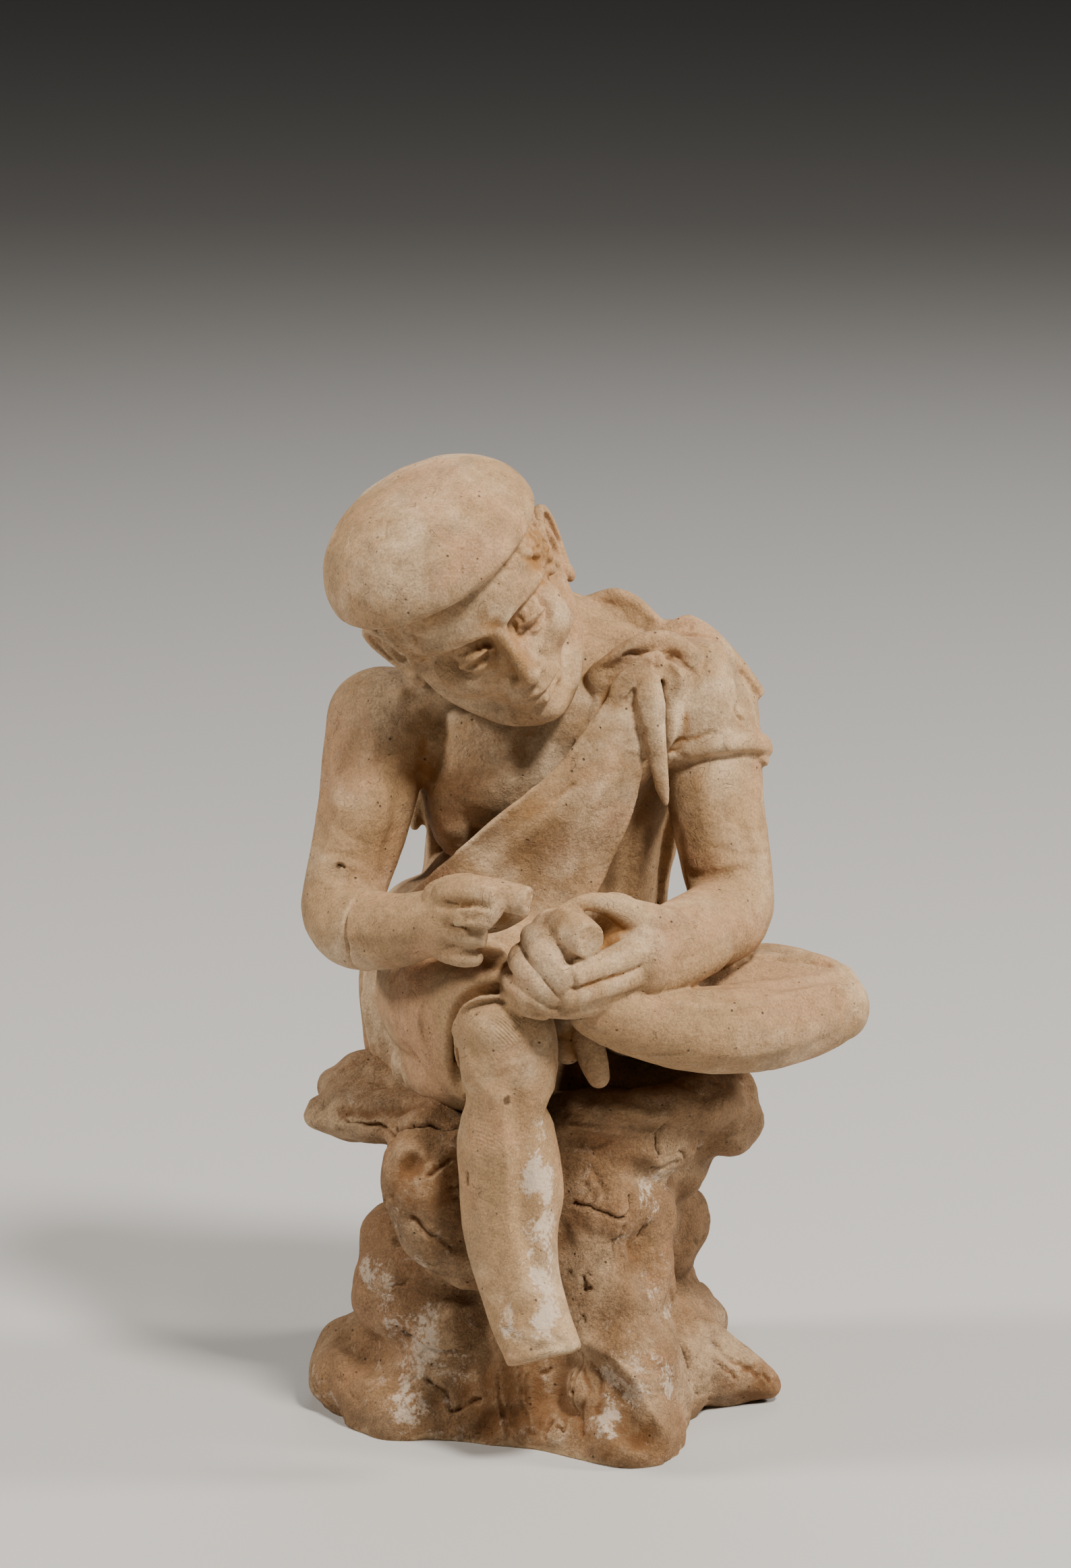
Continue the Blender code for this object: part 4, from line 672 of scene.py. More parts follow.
headLook = {"grain": 0.33, "skullGrain": 0.7, "skullRounds": 16, "featureGrain": 0.28,
            "featureRounds": 3, "faceRounds": 4, "earRounds": 4, "capRounds": 6, "hairRounds": 2,
            "wholeRounds": 1, "uneven": (5, 0.16), "marks": (7, 120, (2, 6), (0.6, 1.4), (-0.1, 0.12)),
            "nicks": (8, 30, (0.3, 1.2), (0.4, 0.5), (0.1, 0.25), 8),
            "triangles": 150000, "stand": (-14.5, -12.4, 176.6), "front": (0.339, -0.893, -0.304),
            "crown": (-0.465, -0.439, 0.771)}


def shapeSkull(clay):
    ball(clay, (0, 3, 5.6), (18.2, 22.5, 18.6))
    ball(clay, (0, -5.2, -5), (14.8, 15.8, 17.6))
    ball(clay, (0, -7.2, 8), (15.4, 14.2, 11))
    ball(clay, (0, -9, -13), (11, 10, 9.6))
    for way in (-1, 1):
        limb(clay, mirrored([(15, 1, -6, 4.2), (13, -4.6, -14, 4), (7.6, -11.6, -20.6, 3.8),
                             (2, -15.4, -22.6, 4)], way))
        ball(clay, (way * 8.8, -12.4, -6.8), (6.8, 6.2, 8))
        ball(clay, (way * 11, -11.2, -3.4), (4.8, 5.4, 4), (0, way * 18, 0))
        limb(clay, mirrored([(15, -11.4, 2.8, 1.4), (11.4, -16, 4.8, 1.8), (7, -18.9, 5.4, 1.9),
                             (2.6, -20, 4.6, 1.9)], way))
    ball(clay, (0, -17.9, -21.4), (4.6, 4, 3.8))
    ball(clay, (0, -16.8, -14.2), (7.2, 5, 6.2))
    limb(clay, [(0, -18, 5.4, 3.2, 2.2), (0, -19.8, 0, 3.2, 2.4), (0, -20.8, -5, 4.2, 2.6)])


skullStrokes = [
    *bothSides([(4.8, -20, 0.6), (7.4, -20, 0.4), (10.2, -18, 0)], 4.6, 2.2),
    *bothSides([(15.6, -8, 4)], 7, 0.9),
    *bothSides([(11, -15, -12), (10.4, -14, -16)], 6, 0.6),
    ([(-3.4, -21, -18.2), (0, -21, -18.6), (3.4, -21, -18.2)], 2.8, 1),
]


def shapeFeatures(clay):
    # eyes with their lids, nose and mouth
    limb(clay, [(0, -18.8, 5, 1.9, 1.6), (0, -20.7, 1.4, 1.5, 1.7), (0, -22.4, -2, 1.5, 1.8),
                (0, -24, -5.6, 1.8, 2), (0, -24.7, -8, 2.1, 2)])
    ball(clay, (0, -24.6, -8.3), (2.3, 2.1, 2))
    for way in (-1, 1):
        ball(clay, (way * 2.7, -22.2, -8.9), (1.7, 2.4, 1.7), (0, 0, way * 14))
        limb(clay, mirrored([(1.2, -20.4, -3, 1.6), (2, -21.2, -6.4, 1.6), (2.6, -21.8, -8.8, 1.5)], way))
        ball(clay, (way * 6.8, -15.5, -0.4), (3.4, 3.5, 3.2))
        ball(clay, (way * 6.8, -15.7, 0.5), (3.85, 3.85, 3), (-10, 0, 0))
        limb(clay, mirrored([(3.1, -18.7, -1.5, 0.5), (4.6, -19.6, 0, 0.72), (6.8, -20.2, 0.5, 0.85),
                             (9.1, -19.1, -0.2, 0.75), (10.8, -16.9, -1.7, 0.5)], way))
        limb(clay, mirrored([(3.3, -18.6, -1.9, 0.45), (5.2, -19.1, -2.9, 0.6), (7, -19.3, -3.3, 0.68),
                             (9.1, -18.3, -2.9, 0.6), (10.6, -16.9, -2, 0.45)], way))
        limb(clay, mirrored([(3.2, -19.9, 4.2, 0.6), (6, -20, 5.3, 0.75), (9.6, -18.4, 5.4, 0.65),
                             (12.2, -15.6, 4.4, 0.45)], way))
    limb(clay, [(-5.4, -18.9, -15.5, 0.5), (-3.2, -20.6, -14.9, 0.9), (-1.1, -21.6, -14.4, 1.05),
                (0, -21.6, -14.6, 1), (1.1, -21.6, -14.4, 1.05), (3.2, -20.6, -14.9, 0.9),
                (5.4, -18.9, -15.5, 0.5)])
    limb(clay, [(-4.4, -19.2, -16.3, 0.5), (-2, -20.7, -16.9, 1.1), (0, -21.2, -17.1, 1.2),
                (2, -20.7, -16.9, 1.1), (4.4, -19.2, -16.3, 0.5)])
    ball(clay, (0, -20.5, -8.6), (2, 3, 2.4))


featureStrokes = [
    ([(-5.6, -19.2, -15.6), (-2.6, -21.8, -15.65), (0, -22.4, -15.8), (2.6, -21.8, -15.65),
      (5.6, -19.2, -15.6)], 0.75, 1),
    ([(-0.1, -23, -11), (0, -22.6, -13)], 1, 0.4),
    *bothSides([(1.3, -24.6, -10.4), (1.8, -23.4, -10.7)], 0.85, 0.9),
    *bothSides([(4.5, -21.8, -7.8), (4.7, -21.4, -9.4), (3.6, -21.6, -10.8)], 0.9, 0.4),
    *bothSides([(4.8, -20.4, -9.4), (6.6, -18.8, -12.6), (7.2, -17.6, -15.2)], 1.8, 0.3),
    *bothSides([(4.4, -20, 2.2), (6.9, -20.4, 2.8), (10.1, -18.2, 2)], 0.8, 0.65),
    *bothSides([(3.4, -19.8, -1.6), (5.2, -20, -1.2), (6.9, -20.4, -1.1), (9.1, -19, -1.4),
                (10.5, -17.6, -1.8)], 0.6, 0.55),
    *bothSides([(4.2, -19.4, -4.4), (7, -19.4, -5), (10.4, -17, -4.2)], 1.6, 0.3),
    ([(-4, -20.6, -18.7), (0, -21.4, -19.2), (4, -20.6, -18.7)], 1.6, 0.35),
]


def shapeEars(clay):
    for way in (-1, 1):
        ball(clay, (way * 18.6, 3.4, -3.4), (1.5, 4.6, 7), (0, 0, way * -28))
        limb(clay, mirrored([(17.8, -1.2, -2.2, 1), (18.4, -1.8, 0.8, 1.15), (19.6, 0.4, 3.8, 1.3),
                             (21.2, 4.4, 4.3, 1.4), (22.2, 7.4, 1.8, 1.45), (22, 7.8, -2.4, 1.4),
                             (20.8, 5.8, -6.8, 1.3), (19.6, 3.4, -9.8, 1.4)], way))
        limb(clay, mirrored([(20.2, 3.4, 1.6, 0.8), (20.8, 4.8, -1.4, 0.95), (20, 3.8, -5.4, 0.95),
                             (19.2, 1.8, -7.4, 0.8)], way))
        limb(clay, mirrored([(17.8, -1.4, -3.4, 1.1), (18.2, -1, -5.6, 0.9)], way))
        ball(clay, (way * 19.2, 1.9, -10.2), (1.7, 2.6, 2.8))


earStrokes = [
    *bothSides([(20.6, 1.6, -1.2), (20.8, 1.8, -4.6)], 2, 2),
    *bothSides([(20.6, 1.6, 2.4), (22, 5, 2.2), (22.2, 6.2, -0.8), (21.6, 5.4, -5)], 0.9, 0.9),
]

capLook = {"halfWidth": 24.2, "halfLength": 25, "dome": 15.9, "lip": 5,
           "fullness": 2.3, "wave": 0.012, "waves": 3, "middle": (-1.6, 1, 14),
           "tilt": -9, "roll": 2, "phase": 1.1, "turns": 72, "rings": 48}


def shapeCap(clay):
    # a soft flat cap: a domed top, a full rolled rim and a shallow lip under it
    piece = bmesh.new()
    bmesh.ops.create_uvsphere(piece, u_segments=capLook["turns"], v_segments=capLook["rings"], radius=1)
    for vert in piece.verts:
        outward = math.hypot(vert.co.x, vert.co.y)
        rise = max(0, 1 - outward ** capLook["fullness"]) ** 0.5
        high = capLook["dome"] * rise if vert.co.z > 0 else -capLook["lip"] * rise
        angle = math.atan2(vert.co.y, vert.co.x)
        wave = 1 + capLook["wave"] * math.sin(capLook["waves"] * angle + capLook["phase"])
        vert.co = (vert.co.x * capLook["halfWidth"] * wave, vert.co.y * capLook["halfLength"] * wave, high)
    tilt = Euler((math.radians(capLook["tilt"]), math.radians(capLook["roll"]), 0)).to_matrix().to_4x4()
    bmesh.ops.transform(piece, matrix=Matrix.Translation(capLook["middle"]) @ tilt, verts=piece.verts)
    addTo(clay, piece)


capStrokes = [
    ([(-8, -14, 28), (2, -16, 28), (9, -14, 28)], 6, 0.4),
    ([(-14, 4, 30), (-16, 10, 28)], 6, 0.4),
    ([(6, 6, 31), (12, 2, 29)], 5, -0.3),
    ([(-8, -8, 29.4), (-6, -5, 30)], 0.7, 0.4),
    ([(10, 8, 29.4), (11, 6, 29.4)], 0.6, 0.35),
    ([(-20, -15, 14), (-12, -21, 14.6), (-2, -24, 15)], 1.4, 0.25),
]


hairLook = {"seed": 2, "templeHeights": (11.2, 8.6, 5.8, 3, 0.4, -2), "rows": (12, 8.4, 4.8, 1.2, -2.4, -5.6),
            "templePlaces": (-15, -12.8, -10.6, -8.2, -5.8, -3.4, -1), "turns": range(-38, 96, 8),
            "temple": (18.5, 22.5, 19), "back": (18.8, 22.8, 15), "tuftSides": 10, "tuftSteps": 2}


def shapeHair(clay):
    # a close cropped mass round the back and sides, with short tufts worked into it
    ball(clay, (0, 4.6, 2), (19, 23, 13.5))
    for way in (-1, 1):
        ball(clay, (way * 15.6, -6.4, 6), (2.6, 5, 7.4), (0, way * 8, way * -20))
    wide, long, tall = hairLook["temple"]
    backWide, backLong, backTall = hairLook["back"]
    sides, steps = hairLook["tuftSides"], hairLook["tuftSteps"]
    dice = np.random.default_rng(hairLook["seed"])
    for way in (-1, 1):
        for y, z in [(y, z) for z in hairLook["templeHeights"] for y in hairLook["templePlaces"]]:
            if y < -7 and z < 2 or y < -9 and z < 5 or y < -12 and z < 8:
                continue
            y, z = y + dice.uniform(-0.7, 0.7), z + dice.uniform(-0.6, 0.6)
            out = wide * math.sqrt(1 - ((y - 3) / long) ** 2 - ((z - 5.6) / tall) ** 2)
            size = dice.uniform(1, 1.5)
            limb(clay, [(way * (out + 0.1), y - 1, z + 1.4, size * 0.7), (way * (out + 1.2), y, z, size),
                        (way * (out - 0.1), y + 1.6, z - 1.6, 0.4)], sides=sides, steps=steps)
        for high in hairLook["rows"]:
            for turn in hairLook["turns"]:
                if turn < 14 and high < 4 or turn < -18 and high < 1:
                    continue
                angle = math.radians(turn + dice.uniform(-4, 4))
                z = high + dice.uniform(-1.4, 1.4)
                level = math.sqrt(max(0.25, 1 - ((z - 2) / backTall) ** 2))
                x, y = way * backWide * level * math.cos(angle), 4.6 + backLong * level * math.sin(angle)
                lean, size = dice.uniform(-1.6, 0.4), dice.uniform(0.9, 1.4)
                limb(clay, [(x * 0.99, y + 0.4, z + 2, size),
                            (x * 1.015, y * 1.01 + lean * 0.4, z - 0.4, size * 1.1),
                            (x * 0.985, y * 0.985 + lean, z - 3.2, 0.45)], sides=sides, steps=steps)


def backOfHead(angle, halfWidth, halfLength, z):
    return (halfWidth * math.cos(angle), 4 + halfLength * math.sin(angle), z)


hairStrokes = [
    *[([(way * 17.4, y, 10), (way * 18.2, y - 0.8, 6), (way * 17.6, y - 1.6, 2)], 0.7, 0.6)
      for way in (-1, 1) for y in (-9.4, -7.4, -5.6, -3.6, -1.4)],
    *[([backOfHead(a, 19, 22, 8), backOfHead(a + 0.05, 19, 22.4, 2), backOfHead(a + 0.16, 18, 21, -6)],
       0.8, 0.5) for a in np.radians(range(16, 166, 11))],
]


# The rock

rockLook = {"grain": 0.62, "rounds": 30, "lumps": ((15, 2.6), (7, 0.6)),
            "softened": 26, "crumbs": ((5.5, 0.5), (1.6, 0.26)), "patchSize": 13, "patchShift": (7, 0, 0),
            "patchShare": (0.35, 1.6, 0.1), "nicks": (11, 200, (1.2, 4), (0.5, 1), (0.25, 0.7)),
            "dents": (12, 120, (5, 12), (2.2, 3.6), (-0.4, 0.5)), "triangles": 190000}


def shapeRock(clay):
    # a spreading foot, a waist and an overhanging seat
    limb(clay, [(-2, 5, -6, 36, 36), (-2, 5, 8, 35, 34), (-2, 4, 20, 30, 31), (-2, 2, 32, 27, 31),
                (-2, 1, 43, 28.6, 33), (0, 1, 53, 33, 35), (0, 1, 62, 38, 37), (0, 1, 68, 38, 36)],
         roundEnds=(False, False), sides=28)
    limb(clay, [(-18, -10, 64.4, 22, 8), (-33, -10, 65, 17, 7.6), (-43, -10, 64.4, 12, 6.4),
                (-47, -10.4, 64, 8, 4.6)], side=(0, 1, 0))
    limb(clay, [(-20, -29, 62, 13, 9), (-24, -34, 56, 10.6, 9), (-22, -35, 47, 9, 8.4), (-16, -33, 38, 7, 8)])
    limb(clay, [(-26, -30, 1, 9, 8), (-12, -33, 0, 8, 8), (2, -38, 0, 8, 8), (12, -44, 0, 8, 9),
                (19, -47, 0, 8, 9)], side=(0, 0.3, 1))
    limb(clay, [(16, -8, 16, 14, 13), (29, -9, 10.4, 12, 11), (38, -10, 7, 10, 9), (45, -10, 5, 8, 6.6),
                (48.4, -10.4, 4.4, 5, 4)], side=(0, 1, 0))
    limb(clay, [(2, -30, 68, 6), (12, -33, 70, 6), (22, -32, 70.6, 6), (32, -26, 70, 6.4), (38, -16, 68, 7)])
    for lobe in rockLobes:
        ball(clay, *lobe)


# centre, half sizes and, where it leans, a turn
rockLobes = [
    ((-33, 0, 66.6), (15, 16, 9)),
    ((38.2, -8, 64.6), (10, 12, 10.8)), ((26, -6, 53), (11, 14, 11)), ((19, -6, 42), (11, 16, 15)),
    ((14, -20, 61), (21, 17.5, 11)), ((-8, -28, 58), (13, 15, 13)), ((-6, -24, 42), (13, 17, 18)),
    ((13, -20, 48), (16, 20, 19)), ((13, -24, 31), (16, 19, 18)), ((17, -33, 15), (14, 19, 15)),
    ((19, -40, 3), (12.4, 18.4, 13)), ((-27, -19, 28), (13.4, 14, 14.4)),
    ((-31, -13, 37), (9, 11, 9)), ((-19, -26, 19), (13, 10, 11), (0, 30, 0)),
    ((-34.8, -9, 6), (15.4, 20, 14)), ((-26, -25, 3), (17, 14, 14)), ((24, -22, 7), (13, 15, 14)),
    ((-5, -24, 9), (16, 17, 19)), ((26.4, 10, 33), (10, 14, 12.4)), ((25, 12, 8), (16, 20, 15)),
    ((-14, 29, 7), (25, 16, 18)),
    ((16, 28, 11), (20, 17, 18)), ((2, 26, 45), (28, 15, 21)), ((-23, 20, 34), (11, 16, 15)),
]

rockStrokes = [
    ([(21.5, -38, 41), (22.5, -38, 37.6)], 7.4, 3.4),
    ([(2.8, -44, 20.6), (10, -50, 18.2), (16.1, -54, 13), (19.2, -56, 7.2)], 6, 3.4),
    ([(6.9, -44, 25.3), (15.1, -50, 20.7), (21.8, -54, 15.6), (26.2, -56, 8.3)], 3, -1.2),
    ([(28, -20, 66), (27, -22, 60), (26, -24, 56)], 3.4, 3.4),
    ([(-28.9, -44, 63.9), (-28.1, -44, 62.4)], 3.2, 2.6),
    ([(-32, -44, 66.7), (-30.1, -44, 68.8), (-26.9, -44, 68.1)], 2.2, -0.9),
    ([(-16, -42, 44)], 3, 2),
    ([(-44, -22, 68), (-32, -24, 68), (-20, -30, 70)], 2, 1.6),
    ([(-36, -22, 58), (-30, -28, 52), (-30, -28, 44)], 4, 2),
    ([(-8, -32, 18)], 10, 1.6),
    *[([(x, -38, 17), (x + 1, -42, 5)], 2.2, 0.9) for x in (-12, -7, -1, 6, 11)],
    ([(30, -30, 18), (30, -27, 8), (30, -24, 0)], 5, 2.4),
    ([(8, -38, 46), (16, -38, 44), (20, -38, 42)], 1.8, 1.2),
    ([(6.9, -38, 69.3), (15.1, -38, 66.1), (23.4, -36, 61.3)], 3.4, -1),
    ([(6.9, -38, 64.5), (15.1, -38, 61.3), (22.4, -36, 57)], 2.4, 1),
    ([(16.7, -38, 50), (16, -38, 44.6), (17.3, -38, 39.3)], 2.6, -0.9),
    ([(10, -44, 24), (15, -44, 26)], 2.2, 1.4),
    ([(-44, -18, 20), (-34, -32, 14), (-22, -36, 8)], 4, 1.8),
]

# drawn after the lumps: cracks, nicks and the tool's furrows
crackStrokes = [
    ([(-44, -24, 68.6), (-38, -28, 66.4), (-30, -32, 67), (-22, -36, 69.4), (-15, -36, 70.6)], 0.7, 1),
    ([(-34, -30, 68), (-33, -31, 65), (-35, -29, 62)], 0.8, 0.9),
    ([(4.8, -40, 52.5), (8.9, -40, 51.9), (13.1, -40, 50.6), (16.7, -38, 49.4), (18.5, -37, 53.2)], 0.7, 0.9),
    ([(10, -40, 60), (13.1, -40, 55.9), (12.9, -40, 51.9)], 0.6, 0.5),
    ([(6.5, -44, 37.8), (7.9, -44, 35.9), (7.5, -44, 33.9), (9.8, -44, 34.8)], 0.9, 1.3),
    ([(16.2, -38, 47.9), (15.8, -38, 42.5), (17.7, -38, 37.1)], 0.7, 0.5),
    ([(23.5, -36, 57), (27.6, -34, 57.9), (31.8, -32, 57.8)], 0.8, 0.7),
    ([(25.9, -34, 68.2), (24.5, -35, 65.3), (25.7, -35, 61.8)], 0.7, 0.8),
    ([(32.9, -28, 65.5), (36.1, -26, 61.7), (39.3, -24, 59.4)], 0.6, 0.6),
    ([(4, -40, 76), (14, -40, 73.4), (26, -37, 70)], 2.2, -0.7),
    ([(5, -40, 70.6), (14, -41, 68.4), (24, -38, 66)], 1.6, 0.8),
    ([(-24, -44, 60), (-20, -45, 63), (-16, -43, 64)], 0.9, 0.8),
    ([(-27, -42, 50), (-23, -44, 46.6), (-18, -42, 43)], 1, 0.8),
    ([(-32, -27, 44), (-26, -33, 41), (-20, -36, 39)], 1.2, 1),
    ([(-30, -32, 21), (-24, -36, 18), (-17, -38, 19)], 1, 1),
    ([(-24, -38, 14), (-20, -40, 10), (-15, -40, 9)], 1, 1),
    ([(-46, -14, 8), (-44, -20, 3), (-41, -22, 0)], 0.8, 0.9),
    *[([(x, -42, 17 + s), (x + 0.8, -44, 10), (x + 1.6 + s * 0.2, -46, 4 + s)], 0.9, 0.5)
      for x, s in ((-10, 0), (-5.4, 2), (-1, -1), (3.6, 1), (7.4, 3), (10.4, -1), (13, 2))],
    ([(30, -30, 30), (31, -27, 22), (31, -26, 12)], 1, 0.8),
    ([(38, -20, 18), (42, -18, 12), (47, -15, 7)], 1, 0.6),
    ([(38, -20, 12), (42, -19, 8)], 0.8, 0.6),
    ([(33, -14, 36), (34.6, -10, 30), (33, -12, 26)], 1, 0.7),
    ([(-8, 44, 60), (6, 43, 55), (20, 38, 57)], 0.9, 0.9),
    ([(-30, 34, 30), (-18, 42, 27), (0, 44, 29), (16, 43, 27)], 1.2, 1.2),
    ([(30, 28, 26), (36, 20, 22), (38, 10, 24)], 1, 1),
    ([(-36, 8, 50), (-33, 18, 46), (-28, 28, 48)], 1, 0.9),
]


fineStrokes = [
    # the mended break round the right forearm, wrist and elbow wrinkles, and creases of the wrapped cloth
    ([(-36.8, -24, 103.2), (-37.6, -29, 104.4), (-38, -31.6, 108), (-37.8, -31, 112.4), (-37.2, -27, 116)],
     0.7, 0.8),
    ([(-35.8, -26, 103), (-36.8, -32, 108), (-36.2, -28, 116)], 0.9, -0.22),
    ([(-42.9, -22, 120.4), (-42, -23, 119.6)], 0.8, 0.9),
    ([(38, -14, 128), (42.6, -15, 126.6), (46, -12, 126.4)], 1, 0.25),
    ([(37, -16, 123.4), (41.4, -17, 121.6), (46, -14, 121.6)], 1, 0.25),
    ([(13, -48, 95.4), (20, -46, 92), (28, -45, 89.4)], 1, 0.35),
    ([(-15.4, -52, 62.4), (-15.6, -52, 59.8)], 0.7, 0.7),
    ([(42.2, -9, 151.8), (43.4, -9, 149.8)], 0.7, 0.8),
]

# marks and nicks: seed, count, lengths, widths and depths
manLook = {"grain": 0.42, "rounds": 1, "triangles": 190000,
           "marks": (3, 240, (3, 9), (1, 2.4), (-0.12, 0.14)),
           "nicks": (4, 110, (0.2, 1.6), (0.5, 0.7), (0.12, 0.3))}


def makeMan():
    flesh = worked([shapeTorso, shapeArms, shapeLegs], bodyLook["grain"], bodyLook["rounds"], bodyStrokes)
    uneven(flesh, *bodyLook["uneven"])
    grips = worked([shapeRightHand, shapeLeftHand, shapeHeldFoot, shapeLap], gripLook["grain"],
                   gripLook["rounds"], gripStrokes)
    clothes = worked([shapeTunic, shapeHem, shapeScarf, shapeSleeve], clothLook["grain"], clothLook["rounds"],
                     clothStrokes)
    uneven(clothes, *clothLook["uneven"])
    mesh = together([flesh, grips, clothes], manLook["grain"], manLook["rounds"])
    roughBreaks(mesh)
    carve(mesh, fineStrokes)
    scattered(mesh, *manLook["marks"])
    scattered(mesh, *manLook["nicks"])
    return pressed(mesh, "man", triangles=manLook["triangles"])


def upright():
    front = Vector(headLook["front"]).normalized()
    crown = Vector(headLook["crown"])
    crown = (crown - front * crown.dot(front)).normalized()
    place = Matrix((crown.cross(front), -front, crown)).transposed().to_4x4()
    place.translation = headLook["stand"]
    return place


def makeHead():
    grain = headLook["grain"]
    skull = worked([shapeSkull], headLook["skullGrain"], headLook["skullRounds"], skullStrokes)
    features = worked([shapeFeatures], headLook["featureGrain"], headLook["featureRounds"])
    face = together([skull, features], grain, headLook["faceRounds"])
    carve(face, featureStrokes)
    ears = worked([shapeEars], grain, headLook["earRounds"], earStrokes)
    cap = worked([shapeCap], grain, headLook["capRounds"], capStrokes)
    hair = worked([shapeHair], grain, headLook["hairRounds"], hairStrokes)
    mesh = together([face, ears, cap, hair], grain, headLook["wholeRounds"])
    uneven(mesh, *headLook["uneven"])
    scattered(mesh, *headLook["marks"])
    scattered(mesh, *headLook["nicks"])
    mesh = pressed(mesh, "head", triangles=headLook["triangles"])
    mesh.transform(upright())
    return mesh


def makeRock():
    mesh = worked([shapeRock], rockLook["grain"], rockLook["rounds"], rockStrokes)
    roughened(mesh, rockLook["lumps"])
    mesh = pressed(mesh, "rock", rounds=rockLook["softened"])
    carve(mesh, crackStrokes)
    size, shift = rockLook["patchSize"], Vector(rockLook["patchShift"])
    patches = np.array([noise.noise(Vector(spot / size) + shift) for spot in readSpots(mesh)])
    start, growth, least = rockLook["patchShare"]
    roughened(mesh, rockLook["crumbs"], np.clip(start + patches * growth, least, 1))
    scattered(mesh, *rockLook["nicks"])
    scattered(mesh, *rockLook["dents"])
    mesh = pressed(mesh, "rock", triangles=rockLook["triangles"])
    clay = bmesh.new()
    clay.from_mesh(mesh)
    parts = clay.verts[:] + clay.edges[:] + clay.faces[:]
    cut = bmesh.ops.bisect_plane(clay, geom=parts, plane_co=(0, 0, 0), plane_no=(0, 0, -1), clear_outer=True)
    rim = [item for item in cut["geom_cut"] if isinstance(item, bmesh.types.BMEdge)]
    bmesh.ops.holes_fill(clay, edges=rim, sides=0)
    bmesh.ops.triangulate(clay, faces=[face for face in clay.faces if len(face.verts) > 4])
    clay.to_mesh(mesh)
    clay.free()
    return mesh


# Making the pieces

print("working the body, the hands and the clothes")
manMesh = makeMan()
print("working the head")
headMesh = makeHead()
print("working the rock")
rockMesh = makeRock()

print("finding the hollows")
hollowLook = {"grain": 1.7, "rounds": 2, "rays": 22, "reach": 32, "seed": 5,
              "creaseRounds": 10, "creaseDepth": 0.5, "foldRounds": 60, "foldDepth": 1.6,
              "lean": 0.35, "lift": 0.9}


def shadeMesh():
    # the whole statue at a coarse grain, to find how open each place is
    clay = bmesh.new()
    for mesh in (manMesh, headMesh, rockMesh):
        clay.from_mesh(mesh)
    whole = bpy.data.meshes.new("whole")
    clay.to_mesh(whole)
    clay.free()
    return pressed(whole, "whole", hollowLook["grain"], hollowLook["rounds"])


def openness(mesh):
    # for each point, the share of directions in which nothing is near
    rays, reach = hollowLook["rays"], hollowLook["reach"]
    spots, normals = readSpots(mesh), readNormals(mesh)
    faces = [tuple(face.vertices) for face in mesh.polygons]
    tree = BVHTree.FromPolygons([tuple(spot) for spot in spots], faces)
    dice = np.random.default_rng(hollowLook["seed"])
    ways = dice.normal(size=(rays, 3))
    ways /= np.linalg.norm(ways, axis=1)[:, None]
    share = np.empty(len(spots))
    for i, (spot, normal) in enumerate(zip(spots, normals)):
        turned = np.where((ways @ normal)[:, None] < 0, -ways, ways) + normal * hollowLook["lean"]
        start = Vector(spot + normal * hollowLook["lift"])
        hits = 0
        for way in turned:
            distance = tree.ray_cast(start, Vector(way), reach)[3]
            hits += 0 if distance is None else 1 - distance / reach
        share[i] = 1 - hits / rays
    return spots, share


def creased(mesh, rounds):
    # how far each point lies below the softened surface, in millimetres
    body = mesh.copy()
    soft = pressed(body, "soft", rounds=rounds)
    depth = ((readSpots(soft) - readSpots(mesh)) * readNormals(mesh)).sum(axis=1)
    bpy.data.meshes.remove(soft)
    return depth


# how open each place is, used for the ochre stain and for the painted shade in the finish
coarse = shadeMesh()
openSpots, openShare = openness(coarse)
openTree = treeOf(openSpots)
bpy.data.meshes.remove(coarse)

placeCore, placeFall = 1.2, 0.75  # a place is strong in its middle and fades out past its half sizes
# places of slip, ochre stain, dark spots and painted shade, finger prints and pink clay: centre, half sizes
# and strength
slipPlaces = [((0.6, -57, 66), (5.6, 7, 13), 1), ((1, -58, 49), (5, 7, 13), 1),
              ((1.4, -60, 37), (4.4, 7, 8), 1), ((1.8, -57, 55), (3, 7, 22), 1.35),
              ((-7, -58, 33), (3.4, 6, 6), 0.9), ((-31, -30, 50), (4.5, 9, 7), 1),
              ((-35, -30, 33), (6, 9, 6), 0.9), ((-24, -36, 14), (9, 12, 13), 0.9),
              ((-29, -26, 22), (8, 10, 6), 0.7), ((26, -34, 52), (6, 9, 6), 0.9),
              ((21, -44, 17), (9, 12, 8), 0.8), ((26, -32, 30), (6, 9, 8), 0.6),
              ((13, -50, 8), (5, 9, 8), 0.8), ((-24, -40, 38), (5, 8, 5), 0.5),
              ((30, -16, 58), (6, 8, 6), 0.5)]
